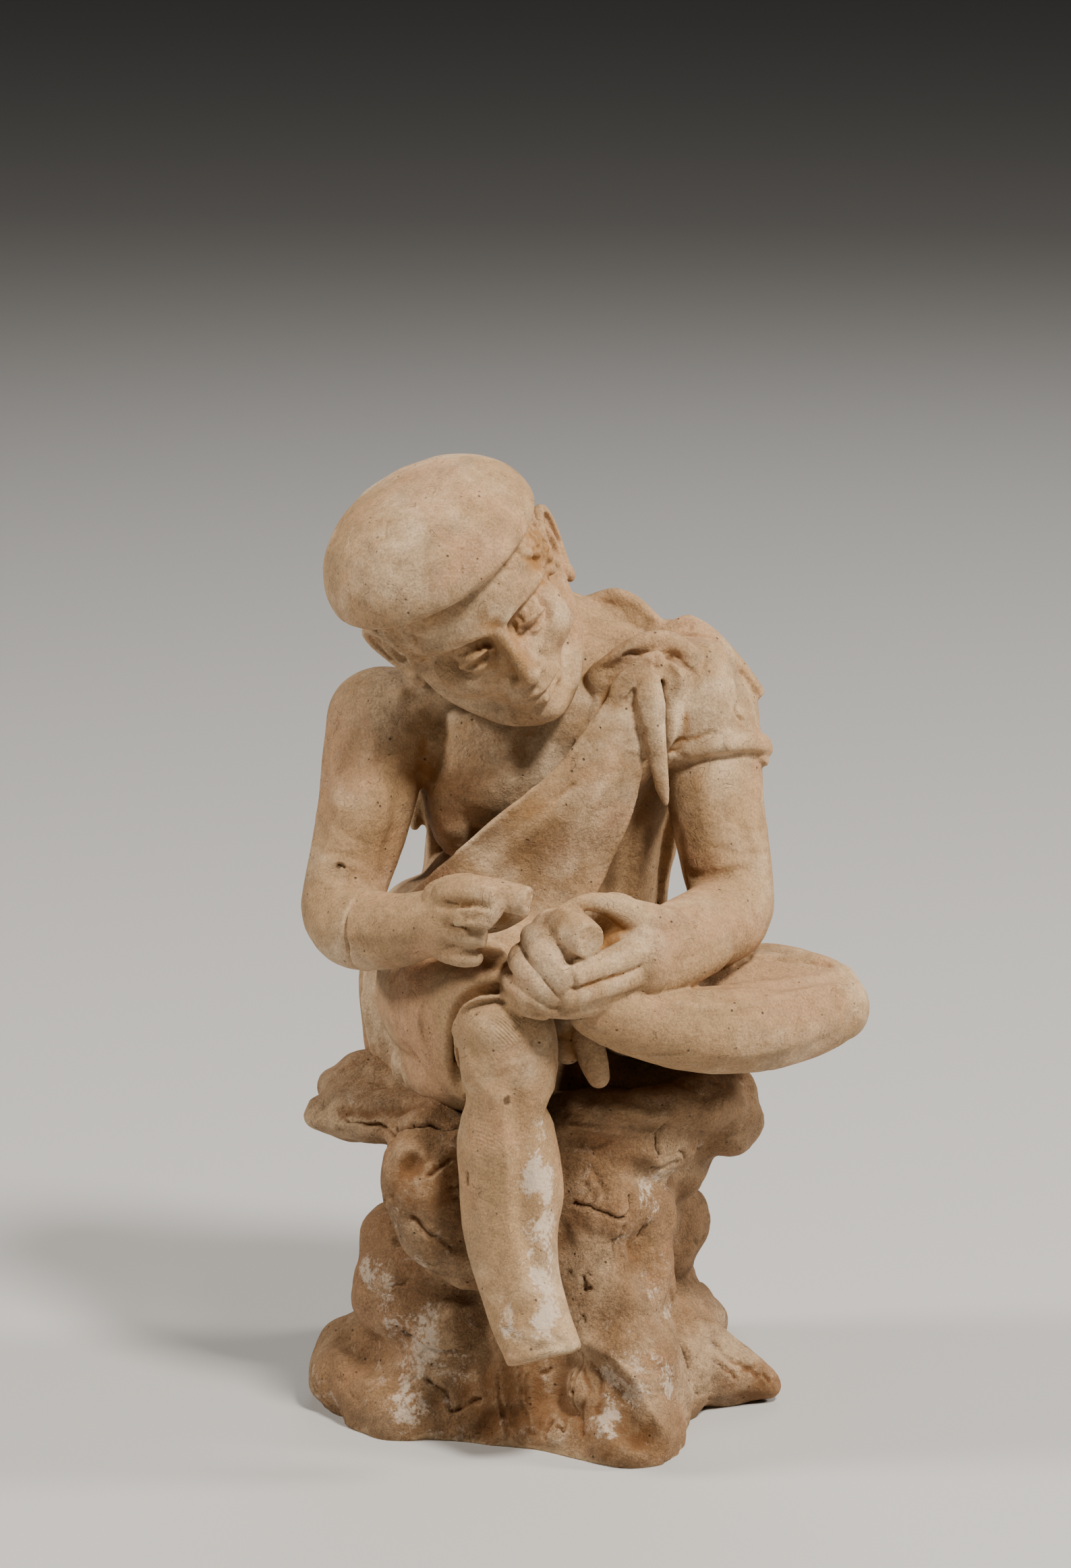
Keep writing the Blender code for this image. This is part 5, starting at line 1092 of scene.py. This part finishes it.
ochrePlaces = [((-11, -14, 143), (12, 9, 10), 0.75), ((-25, -8, 137), (5, 8, 10), 0.8),
               ((-2, -18, 132), (12, 7, 6), 0.8), ((20, -12, 152), (9, 7, 8), 0.85),
               ((14, -47, 113), (5, 6, 5), 0.9), ((12, -56, 104), (9, 6, 4), 0.6),
               ((-10, -50, 118), (9, 7, 4), 0.8), ((30, -12, 147), (6, 5, 6), 0.7),
               ((8, -34, 84), (9, 8, 12), 0.45), ((-12, -40, 104), (7, 6, 5), 0.7),
               ((-36, -20, 135), (8, 7, 12), 0.3), ((36, -38, 97), (12, 8, 4), 0.5),
               ((-6, -50, 108), (6, 6, 8), 0.5), ((28, 2, 158), (12, 9, 8), 0.5),
               ((20, -36, 76), (18, 8, 4), 0.6), ((-2, -42, 8), (24, 16, 15), 0.8),
               ((46, -12, 5), (9, 10, 9), 0.9), ((-26, -42, 57), (9, 9, 9), 0.9),
               ((-34, -22, 68), (16, 14, 6), 0.7), ((18, -54, 4), (12, 9, 8), 0.8),
               ((22, -38, 41), (6, 6, 6), 0.7), ((3, -22, 172), (9, 10, 8), 0.5),
               ((6, -18, 182), (8, 12, 14), 0.7), ((-1, -21, 186), (6, 9, 9), 0.85),
               ((-8, -34, 168), (12, 8, 12), 0.75)]
# small dark spots and darker break faces, and painted shade at (20, -22, 75) under the crossed leg's calf
# where it meets the rock and at (6, -32, 82) between the hanging leg and that calf
darkPlaces = [((-6.9, -57, 79), (1, 4, 1.5), 1), ((-15.6, -52, 61), (0.9, 4, 1.3), 1),
              ((-42.4, -24, 120), (1.1, 8, 0.8), 1), ((-9, -57, 55), (1.2, 4, 0.7), 0.8),
              ((7, -44, 34), (1.6, 6, 1.2), 0.8), ((-33, -36, 66), (5, 8, 2), 0.6),
              ((20, -22, 75), (22, 14, 4), 0.6), ((6, -32, 82), (6, 8, 8), 0.4),
              ((-3, -57, 120.8), (3.2, 3, 3), 0.28), ((-14.2, -58, 117.6), (4.2, 2, 2.4), 0.28),
              ((10, -61.4, 113.6), (3.6, 2, 3.6), 0.28)]
printPlaces = [((-6.5, -57, 94.4), (3.4, 6, 3.6), 1), ((57.5, -30, 99.8), (5, 8, 3.4), 1),
               ((-12, -54, 70), (3, 5, 8), 0.4)]
pinkPlaces = [((-24, -26, 88), (9, 12, 18), 1), ((-34, -12, 116), (9, 9, 9), 0.4),
              ((44, -30, 94), (20, 12, 8), 0.5), ((0, -44, 110), (10, 10, 10), 0.3)]


def spotted(spots, places):
    found = np.zeros(len(spots))
    for centre, sizes, strength in places:
        near = (((spots - np.array(centre)) / np.array(sizes)) ** 2).sum(axis=1)
        found = np.maximum(found, strength * np.clip(placeCore - near * placeFall, 0, 1))
    return found


def mark(mesh, name, values):
    layer = mesh.attributes.new(name, "FLOAT", "POINT")
    layer.data.foreach_set("value", np.asarray(values, np.float32))


def markHollows(mesh):
    spots = readSpots(mesh)
    openHere = np.array([openShare[openTree.find(spot)[1]] for spot in spots])
    mark(mesh, "open", openHere)
    for name in ("crease", "fold"):
        depth = creased(mesh, hollowLook[name + "Rounds"]) / hollowLook[name + "Depth"]
        mark(mesh, name, np.clip(depth, -1, 1))
    for name, places in (("slip", slipPlaces), ("ochre", ochrePlaces), ("pink", pinkPlaces),
                         ("dark", darkPlaces), ("print", printPlaces)):
        mark(mesh, name, spotted(spots, places))


for mesh in (manMesh, headMesh, rockMesh):
    markHollows(mesh)


# Materials: one set of effects, placed in each material with its own values

grey = (0.5, 0.5, 0.5, 1)
# noises: size of the lumps in millimetres, detail, roughness, offset and distortion
clouds = {"pale": (26, 5, 0.6, 0, 0.4), "smoky": (17, 5, 0.62, 0.31, 0.6), "rosy": (21, 4, 0.6, 0.77, 0.5),
          "speckle": (3.2, 6, 0.68, 0.13, 0), "fine": (0.5, 3, 0.7, 0.53, 0),
          "stain": (5, 6, 0.7, 0.21, 0.5), "creaseDark": (2.2, 5, 0.7, 0.43, 0), "rubbed": (4, 5, 0.7, 0.91, 0),
          "slip": (6.5, 7, 0.66, 0.67, 0.2), "scuffs": (0.8, 4, 0.7, 0.35, 0),
          "traces": (7, 8, 0.78, 0.05, 0.4), "grain": (0.55, 5, 0.7, 0.2, 0),
          "broadGrain": (2.4, 4, 0.6, 0.6, 0), "holes": (2.6, 2, 0.5, 0.83, 0),
          "lines": (9, 2, 0.4, 0.37, 1.6), "lineParts": (6, 2, 0.5, 0.71, 0),
          "spots": (1.4, 4, 0.7, 0.57, 0)}
# soft steps: low and high point, the value below the low one and the value above the high one
steps = {"pale": (0.46, 0.68, 0, 1), "smoky": (0.52, 0.72, 0, 0.6), "rosy": (0.48, 0.68, 0, 0.5),
         "speckle": (0.3, 0.7, 0.86, 1.14), "fine": (0.25, 0.75, -0.5, 0.5), "closed": (0.25, 0.8, 1, 0),
         "stain": (0.74, 1.26, 0, 1), "creaseDark": (0.42, 1, 0, 1), "rubbed": (0.45, 1, 0, 1),
         "slip": (2.22, 2.56, 0, 0.72), "slipMask": (0, 0.25, 0, 1), "traces": (0.58, 0.7, 0, 1),
         "hole": (0.06, 0.2, 1, 0), "holes": (0.54, 0.64, 0, 1), "line": (0, 0.006, 1, 0),
         "lineParts": (0.56, 0.62, 0, 1), "spots": (0.72, 1.02, 0, 0.8), "shade": (0.05, 0.75, 0.72, 1)}
# how much each value counts in its effect
weights = {"pale": 0.75, "rosyMask": 0.8, "stainCrease": 0.45, "stainFold": 0.35,
           "closed": 0.42, "stainMask": 0.75, "stainNoise": 0.9, "creaseDarkDepth": 0.8,
           "creaseDarkNoise": 0.5, "creaseDark": 0.75, "rubbedCrease": -1, "rubbedNoise": 0.6,
           "rubbed": 0.5, "torn": 2.6, "slipMask": 0.55, "scuffs": 1.1, "slipCrease": 0.15,
           "broadGrain": 2.4, "holeDark": 0.7, "lineDark": 0.35, "print": 0.12, "spotNoise": 0.8,
           "darkMask": 0.7, "slipRough": 0.08, "stainRough": 0.06}
noiseMiddle = 0.5
plainRoughness = 0.8
poreScale = 520
printWave = {"Scale": 620, "Distortion": 3, "Detail": 1, "Detail Scale": 0.3}


def addNode(tree, kind, values=None, **settings):
    # a node with its sockets set to values or joined to other sockets
    node = tree.nodes.new(kind)
    for name, value in settings.items():
        setattr(node, name, value)
    for name, value in (values or {}).items():
        if isinstance(value, bpy.types.NodeSocket):
            tree.links.new(value, node.inputs[name])
        else:
            node.inputs[name].default_value = value
    return node


def figure(tree, operation, *values):
    return addNode(tree, "ShaderNodeMath", dict(enumerate(values)), operation=operation).outputs[0]


def times(tree, a, b):
    return figure(tree, "MULTIPLY", a, b)


def weighed(tree, value, name, rest=None):
    # a value times its weight, added to the rest where there is one
    if rest is None:
        return times(tree, value, weights[name])
    return figure(tree, "MULTIPLY_ADD", value, weights[name], rest)


def stepped(tree, value, name):
    low, high, start, end = steps[name]
    sockets = {"Value": value, "From Min": low, "From Max": high, "To Min": start, "To Max": end}
    return addNode(tree, "ShaderNodeMapRange", sockets, interpolation_type="SMOOTHSTEP").outputs["Result"]


def mixed(tree, share, a, b):
    return addNode(tree, "ShaderNodeMix", {0: share, 6: a, 7: b}, data_type="RGBA").outputs[2]


def lit(tree, colour, value):
    return addNode(tree, "ShaderNodeVectorMath", {0: colour, 1: value}, operation="MULTIPLY").outputs[0]


def ownSpace(tree):
    return addNode(tree, "ShaderNodeTexCoord").outputs["Object"]


def cloud(tree, name):
    size, detail, rough, offset, distortion = clouds[name]
    shift = (offset, offset * 0.7, -offset)
    moved = addNode(tree, "ShaderNodeMapping", {"Vector": ownSpace(tree), "Location": shift})
    values = {"Vector": moved.outputs[0], "Scale": 1 / (size * millimetre), "Detail": detail,
              "Roughness": rough, "Distortion": distortion}
    return addNode(tree, "ShaderNodeTexNoise", values).outputs["Fac"]


def startGroup(name, colours, numbers, outputs):
    # a node group with colour inputs, number inputs with their usual values, and outputs
    group = bpy.data.node_groups.new(name, "ShaderNodeTree")
    for label, value in {**dict.fromkeys(colours, grey), **numbers}.items():
        kind = "NodeSocketColor" if label in colours else "NodeSocketFloat"
        group.interface.new_socket(label, in_out="INPUT", socket_type=kind).default_value = value
    for label in outputs:
        kind = "NodeSocketColor" if label == "Color" else "NodeSocketFloat"
        group.interface.new_socket(label, in_out="OUTPUT", socket_type=kind)
    return group, group.nodes.new("NodeGroupInput").outputs, group.nodes.new("NodeGroupOutput").inputs


def endGroup(tree, out, results):
    for name, value in results.items():
        tree.links.new(value, out[name])
    return tree


def makeMottledClay():
    # the uneven colour of the fired clay: broad pale, rosy and grey clouds with a fine speckle
    colours, numbers = ("Clay", "Pale", "Rosy", "Smoky"), {"Rosy Mask": 0, "Speckle": 0.3}
    tree, given, out = startGroup("mottledClay", colours, numbers, ("Color",))
    pale = stepped(tree, cloud(tree, "pale"), "pale")
    colour = mixed(tree, weighed(tree, pale, "pale"), given["Clay"], given["Pale"])
    colour = mixed(tree, stepped(tree, cloud(tree, "smoky"), "smoky"), colour, given["Smoky"])
    rosy = stepped(tree, cloud(tree, "rosy"), "rosy")
    rosy = figure(tree, "MAXIMUM", rosy, weighed(tree, given["Rosy Mask"], "rosyMask"))
    colour = mixed(tree, rosy, colour, given["Rosy"])
    small = stepped(tree, cloud(tree, "speckle"), "speckle")
    fine = stepped(tree, cloud(tree, "fine"), "fine")
    fine = figure(tree, "MULTIPLY_ADD", fine, given["Speckle"], small)
    return endGroup(tree, out, {"Color": lit(tree, colour, fine)})


def makeStains():
    # iron stain that stays in hollows, the deepest creases darkened towards near black, and clay rubbed pale
    # on ridges
    numbers = {"Mask": 0, "Open": 1, "Crease": 0, "Fold": 0, "Amount": 0.5}
    tree, given, out = startGroup("stains", ("Color", "Ochre", "DarkBrown", "Rubbed"), numbers, ("Color", "Mask"))
    crease = given["Crease"]
    wet = weighed(tree, crease, "stainCrease", weighed(tree, given["Fold"], "stainFold"))
    closed = stepped(tree, given["Open"], "closed")
    wet = figure(tree, "ADD", weighed(tree, closed, "closed"), wet)
    wet = weighed(tree, given["Mask"], "stainMask", wet)
    wet = weighed(tree, cloud(tree, "stain"), "stainNoise", wet)
    stain = times(tree, stepped(tree, wet, "stain"), given["Amount"])
    colour = mixed(tree, stain, given["Color"], given["Ochre"])
    # the deepest creases darkened towards near black, by crease depth broken up with noise
    deep = weighed(tree, figure(tree, "MAXIMUM", crease, 0), "creaseDarkDepth",
                   weighed(tree, cloud(tree, "creaseDark"), "creaseDarkNoise"))
    deep = weighed(tree, stepped(tree, deep, "creaseDark"), "creaseDark")
    colour = mixed(tree, deep, colour, given["DarkBrown"])
    raised = weighed(tree, cloud(tree, "rubbed"), "rubbedNoise", weighed(tree, crease, "rubbedCrease"))
    rubbed = weighed(tree, stepped(tree, raised, "rubbed"), "rubbed")
    return endGroup(tree, out, {"Color": mixed(tree, rubbed, colour, given["Rubbed"]), "Mask": stain})


def makeWornSlip():
    # what is left of a white coat: solid in places, scuffed through elsewhere
    numbers = {"Mask": 0, "Crease": 0, "Traces": 0.1}
    tree, given, out = startGroup("wornSlip", ("Color", "Slip"), numbers, ("Color", "Mask"))
    here = weighed(tree, cloud(tree, "slip"), "torn", weighed(tree, given["Mask"], "slipMask"))
    here = weighed(tree, cloud(tree, "scuffs"), "scuffs", here)
    here = weighed(tree, given["Crease"], "slipCrease", here)
    slip = times(tree, stepped(tree, here, "slip"), stepped(tree, given["Mask"], "slipMask"))
    trace = times(tree, stepped(tree, cloud(tree, "traces"), "traces"), given["Traces"])
    slip = figure(tree, "MAXIMUM", slip, trace)
    return endGroup(tree, out, {"Color": mixed(tree, slip, given["Color"], given["Slip"]), "Mask": slip})


def makeClayGrain():
    # the relief too fine for the mesh: grain, pinholes, scratches and finger prints, in millimetres
    numbers = {"Grain": 0.05, "Pinholes": 0.2, "Scratches": 0.05, "Print": 0}
    tree, given, out = startGroup("clayGrain", (), numbers, ("Height", "Dark"))
    height = times(tree, figure(tree, "SUBTRACT", cloud(tree, "grain"), noiseMiddle), given["Grain"])
    broad = figure(tree, "SUBTRACT", cloud(tree, "broadGrain"), noiseMiddle)
    height = figure(tree, "MULTIPLY_ADD", broad, weighed(tree, given["Grain"], "broadGrain"), height)
    spot = ownSpace(tree)
    pores = addNode(tree, "ShaderNodeTexVoronoi", {"Vector": spot, "Scale": poreScale, "Randomness": 1})
    hole = stepped(tree, pores.outputs["Distance"], "hole")
    hole = times(tree, hole, stepped(tree, cloud(tree, "holes"), "holes"))
    height = figure(tree, "SUBTRACT", height, times(tree, hole, given["Pinholes"]))
    line = figure(tree, "ABSOLUTE", figure(tree, "SUBTRACT", cloud(tree, "lines"), noiseMiddle))
    line = times(tree, stepped(tree, line, "line"), stepped(tree, cloud(tree, "lineParts"), "lineParts"))
    height = figure(tree, "SUBTRACT", height, times(tree, line, given["Scratches"]))
    dark = figure(tree, "MAXIMUM", weighed(tree, hole, "holeDark"), weighed(tree, line, "lineDark"))
    ridges = addNode(tree, "ShaderNodeTexWave", {"Vector": spot, **printWave}, bands_direction="DIAGONAL")
    ridged = times(tree, ridges.outputs["Fac"], weighed(tree, given["Print"], "print"))
    return endGroup(tree, out, {"Height": figure(tree, "ADD", height, ridged), "Dark": dark})


mottledClay = makeMottledClay()
stains = makeStains()
wornSlip = makeWornSlip()
clayGrain = makeClayGrain()


def addGroup(tree, group, given, names, others):
    # a group's node, fed with the given inputs of these names and with other sockets
    values = {name: given[name] for name in names}
    return addNode(tree, "ShaderNodeGroup", {**values, **others}, node_tree=group)


def makeOldClayAndShade():
    # the shared finish: mottled clay, stained and slipped, from the marks on the mesh, with painted shade
    # darkening it where the surface is closed in
    numbers = {"Speckle": 0.3, "Stain": 0.5, "Traces": 0.1, "Grain": 0.05, "Pinholes": 0.2, "Scratches": 0.05}
    colours = ("Clay", "Pale", "Rosy", "Smoky", "Ochre", "DarkBrown", "Slip", "Rubbed")
    tree, given, out = startGroup("oldClayAndShade", colours, numbers, ("Color", "Roughness", "Height"))
    marks = {name: addNode(tree, "ShaderNodeAttribute", attribute_name=name).outputs["Fac"]
             for name in ("open", "crease", "fold", "slip", "ochre", "pink", "dark", "print")}
    mottled = addGroup(tree, mottledClay, given, ("Clay", "Pale", "Rosy", "Smoky", "Speckle"),
                       {"Rosy Mask": marks["pink"]})
    stained = addGroup(tree, stains, given, ("Ochre", "DarkBrown", "Rubbed"),
                       {"Color": mottled.outputs["Color"], "Mask": marks["ochre"], "Open": marks["open"],
                        "Crease": marks["crease"], "Fold": marks["fold"], "Amount": given["Stain"]})
    slipped = addGroup(tree, wornSlip, given, ("Slip", "Traces"),
                       {"Color": stained.outputs["Color"], "Mask": marks["slip"], "Crease": marks["crease"]})
    grained = addGroup(tree, clayGrain, given, ("Grain", "Pinholes", "Scratches"), {"Print": marks["print"]})
    colour = mixed(tree, grained.outputs["Dark"], slipped.outputs["Color"], given["DarkBrown"])
    # dark spots from noise and from the dark places, some of which are painted shade
    spotsAndShade = weighed(tree, cloud(tree, "spots"), "spotNoise", weighed(tree, marks["dark"], "darkMask"))
    colour = mixed(tree, stepped(tree, spotsAndShade, "spots"), colour, given["DarkBrown"])
    rough = weighed(tree, slipped.outputs["Mask"], "slipRough", plainRoughness)
    rough = weighed(tree, stained.outputs["Mask"], "stainRough", rough)
    # painted shade: the colour is darkened where rays from the surface soon meet clay
    shaded = lit(tree, colour, stepped(tree, marks["open"], "shade"))
    return endGroup(tree, out, {"Color": shaded, "Roughness": rough, "Height": grained.outputs["Height"]})


oldClayAndShade = makeOldClayAndShade()

dullShine = 0.28
bodyFinish = {"Clay": (0.36, 0.227, 0.115, 1), "Pale": (0.6, 0.45, 0.295, 1),
              "Rosy": (0.45, 0.25, 0.135, 1), "Smoky": (0.25, 0.175, 0.105, 1),
              "Ochre": (0.27, 0.127, 0.036, 1), "DarkBrown": (0.05, 0.024, 0.009, 1),
              "Slip": (0.7, 0.58, 0.46, 1), "Rubbed": (0.62, 0.46, 0.29, 1),
              "Speckle": 0.5, "Stain": 0.95, "Traces": 0.16, "Grain": 0.2, "Pinholes": 0.32,
              "Scratches": 0.12}
rockFinish = {"Clay": (0.25, 0.145, 0.07, 1), "Pale": (0.5, 0.35, 0.21, 1), "Rosy": (0.3, 0.15, 0.07, 1),
              "Smoky": (0.15, 0.093, 0.052, 1), "Ochre": (0.18, 0.08, 0.026, 1),
              "DarkBrown": (0.03, 0.014, 0.006, 1), "Slip": (0.68, 0.56, 0.44, 1), "Rubbed": (0.5, 0.35, 0.2, 1),
              "Speckle": 0.65, "Stain": 0.9, "Traces": 0.5, "Grain": 0.42, "Pinholes": 0.5,
              "Scratches": 0.14}


def clayMaterial(name, finish):
    material = bpy.data.materials.new(name)
    material.use_nodes = True
    tree = material.node_tree
    surface = tree.nodes["Principled BSDF"]
    surface.inputs["Specular IOR Level"].default_value = dullShine
    made = addNode(tree, "ShaderNodeGroup", node_tree=oldClayAndShade)
    for label, value in finish.items():
        made.inputs[label].default_value = value
    relief = {"Height": made.outputs["Height"], "Distance": millimetre, "Strength": 1}
    bump = addNode(tree, "ShaderNodeBump", relief)
    tree.links.new(made.outputs["Color"], surface.inputs["Base Color"])
    tree.links.new(made.outputs["Roughness"], surface.inputs["Roughness"])
    tree.links.new(bump.outputs["Normal"], surface.inputs["Normal"])
    return material


print("finishing the pieces")
bodyClay = clayMaterial("bodyClay", bodyFinish)
rockClay = clayMaterial("rockClay", rockFinish)
finished = (("man", manMesh, bodyClay), ("head", headMesh, bodyClay), ("rock", rockMesh, rockClay))
for name, mesh, material in finished:
    mesh.transform(Matrix.Scale(millimetre, 4))
    mesh.shade_smooth()
    mesh.materials.clear()
    mesh.materials.append(material)
    piece = bpy.data.objects.new(name, mesh)
    bpy.context.scene.collection.objects.link(piece)
    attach(piece, "root")
    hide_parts("seated_man_on_rock")
    print(name, len(mesh.polygons), "faces")

# Floor, camera and light

print("setting the stage")
warm = (1, 0.93, 0.84)
white = (1, 1, 1)
# in metres; each light has a place, a size, a power and a colour
stageLook = {"floorRadius": 6, "floorSides": 96, "floorColour": (0.5, 0.5, 0.495, 1),
             "floorRoughness": 0.7, "worldColour": (0.8, 0.8, 0.8, 1),
             "worldStrength": 0.03, "aim": (-0.0011, 0, 0.1335),
             "distance": 1.3, "elevation": 12, "lens": 140.53, "film": 36, "lit": (0, 0, 0.1),
             "lights": {"key": ((0.46, -0.68, 1.18), 0.24, 26, warm),
                        "left": ((-1.05, -0.1, 0.9), 0.28, 14, warm),
                        "right": ((1.2, 0.05, 0.7), 0.3, 15, warm),
                        "back": ((0.2, 1.2, 1.1), 0.8, 5, white)}}


def putInScene(name, data):
    made = bpy.data.objects.new(name, data)
    bpy.context.scene.collection.objects.link(made)
    return made


plate = bmesh.new()
bmesh.ops.create_circle(plate, cap_ends=True, segments=stageLook["floorSides"],
                        radius=stageLook["floorRadius"])
floorMesh = bpy.data.meshes.new("floor")
plate.to_mesh(floorMesh)
plate.free()
floorPaint = bpy.data.materials.new("floorPaint")
floorPaint.use_nodes = True
floorSurface = floorPaint.node_tree.nodes["Principled BSDF"]
floorSurface.inputs["Base Color"].default_value = stageLook["floorColour"]
floorSurface.inputs["Roughness"].default_value = stageLook["floorRoughness"]
floorMesh.materials.append(floorPaint)
floor = putInScene("floor", floorMesh)

world = bpy.data.worlds.new("studio")
world.use_nodes = True
background = world.node_tree.nodes["Background"]
background.inputs["Color"].default_value = stageLook["worldColour"]
background.inputs["Strength"].default_value = stageLook["worldStrength"]
bpy.context.scene.world = world

for name, (place, size, power, colour) in stageLook["lights"].items():
    lamp = bpy.data.lights.new(name, "AREA")
    lamp.shape = "DISK"
    lamp.size = size
    lamp.energy = power
    lamp.color = colour
    holder = putInScene(name, lamp)
    holder.location = place
    holder.rotation_euler = (Vector(stageLook["lit"]) - Vector(place)).to_track_quat("-Z", "Y").to_euler()

aim = Vector(stageLook["aim"])
tip = math.radians(stageLook["elevation"])
eye = bpy.data.cameras.new("eye")
eye.lens = stageLook["lens"]
eye.sensor_width = stageLook["film"]
camera = putInScene("eye", eye)
camera.location = aim + Vector((0, -math.cos(tip), math.sin(tip))) * stageLook["distance"]
camera.rotation_euler = (aim - camera.location).to_track_quat("-Z", "Y").to_euler()
bpy.context.scene.camera = camera
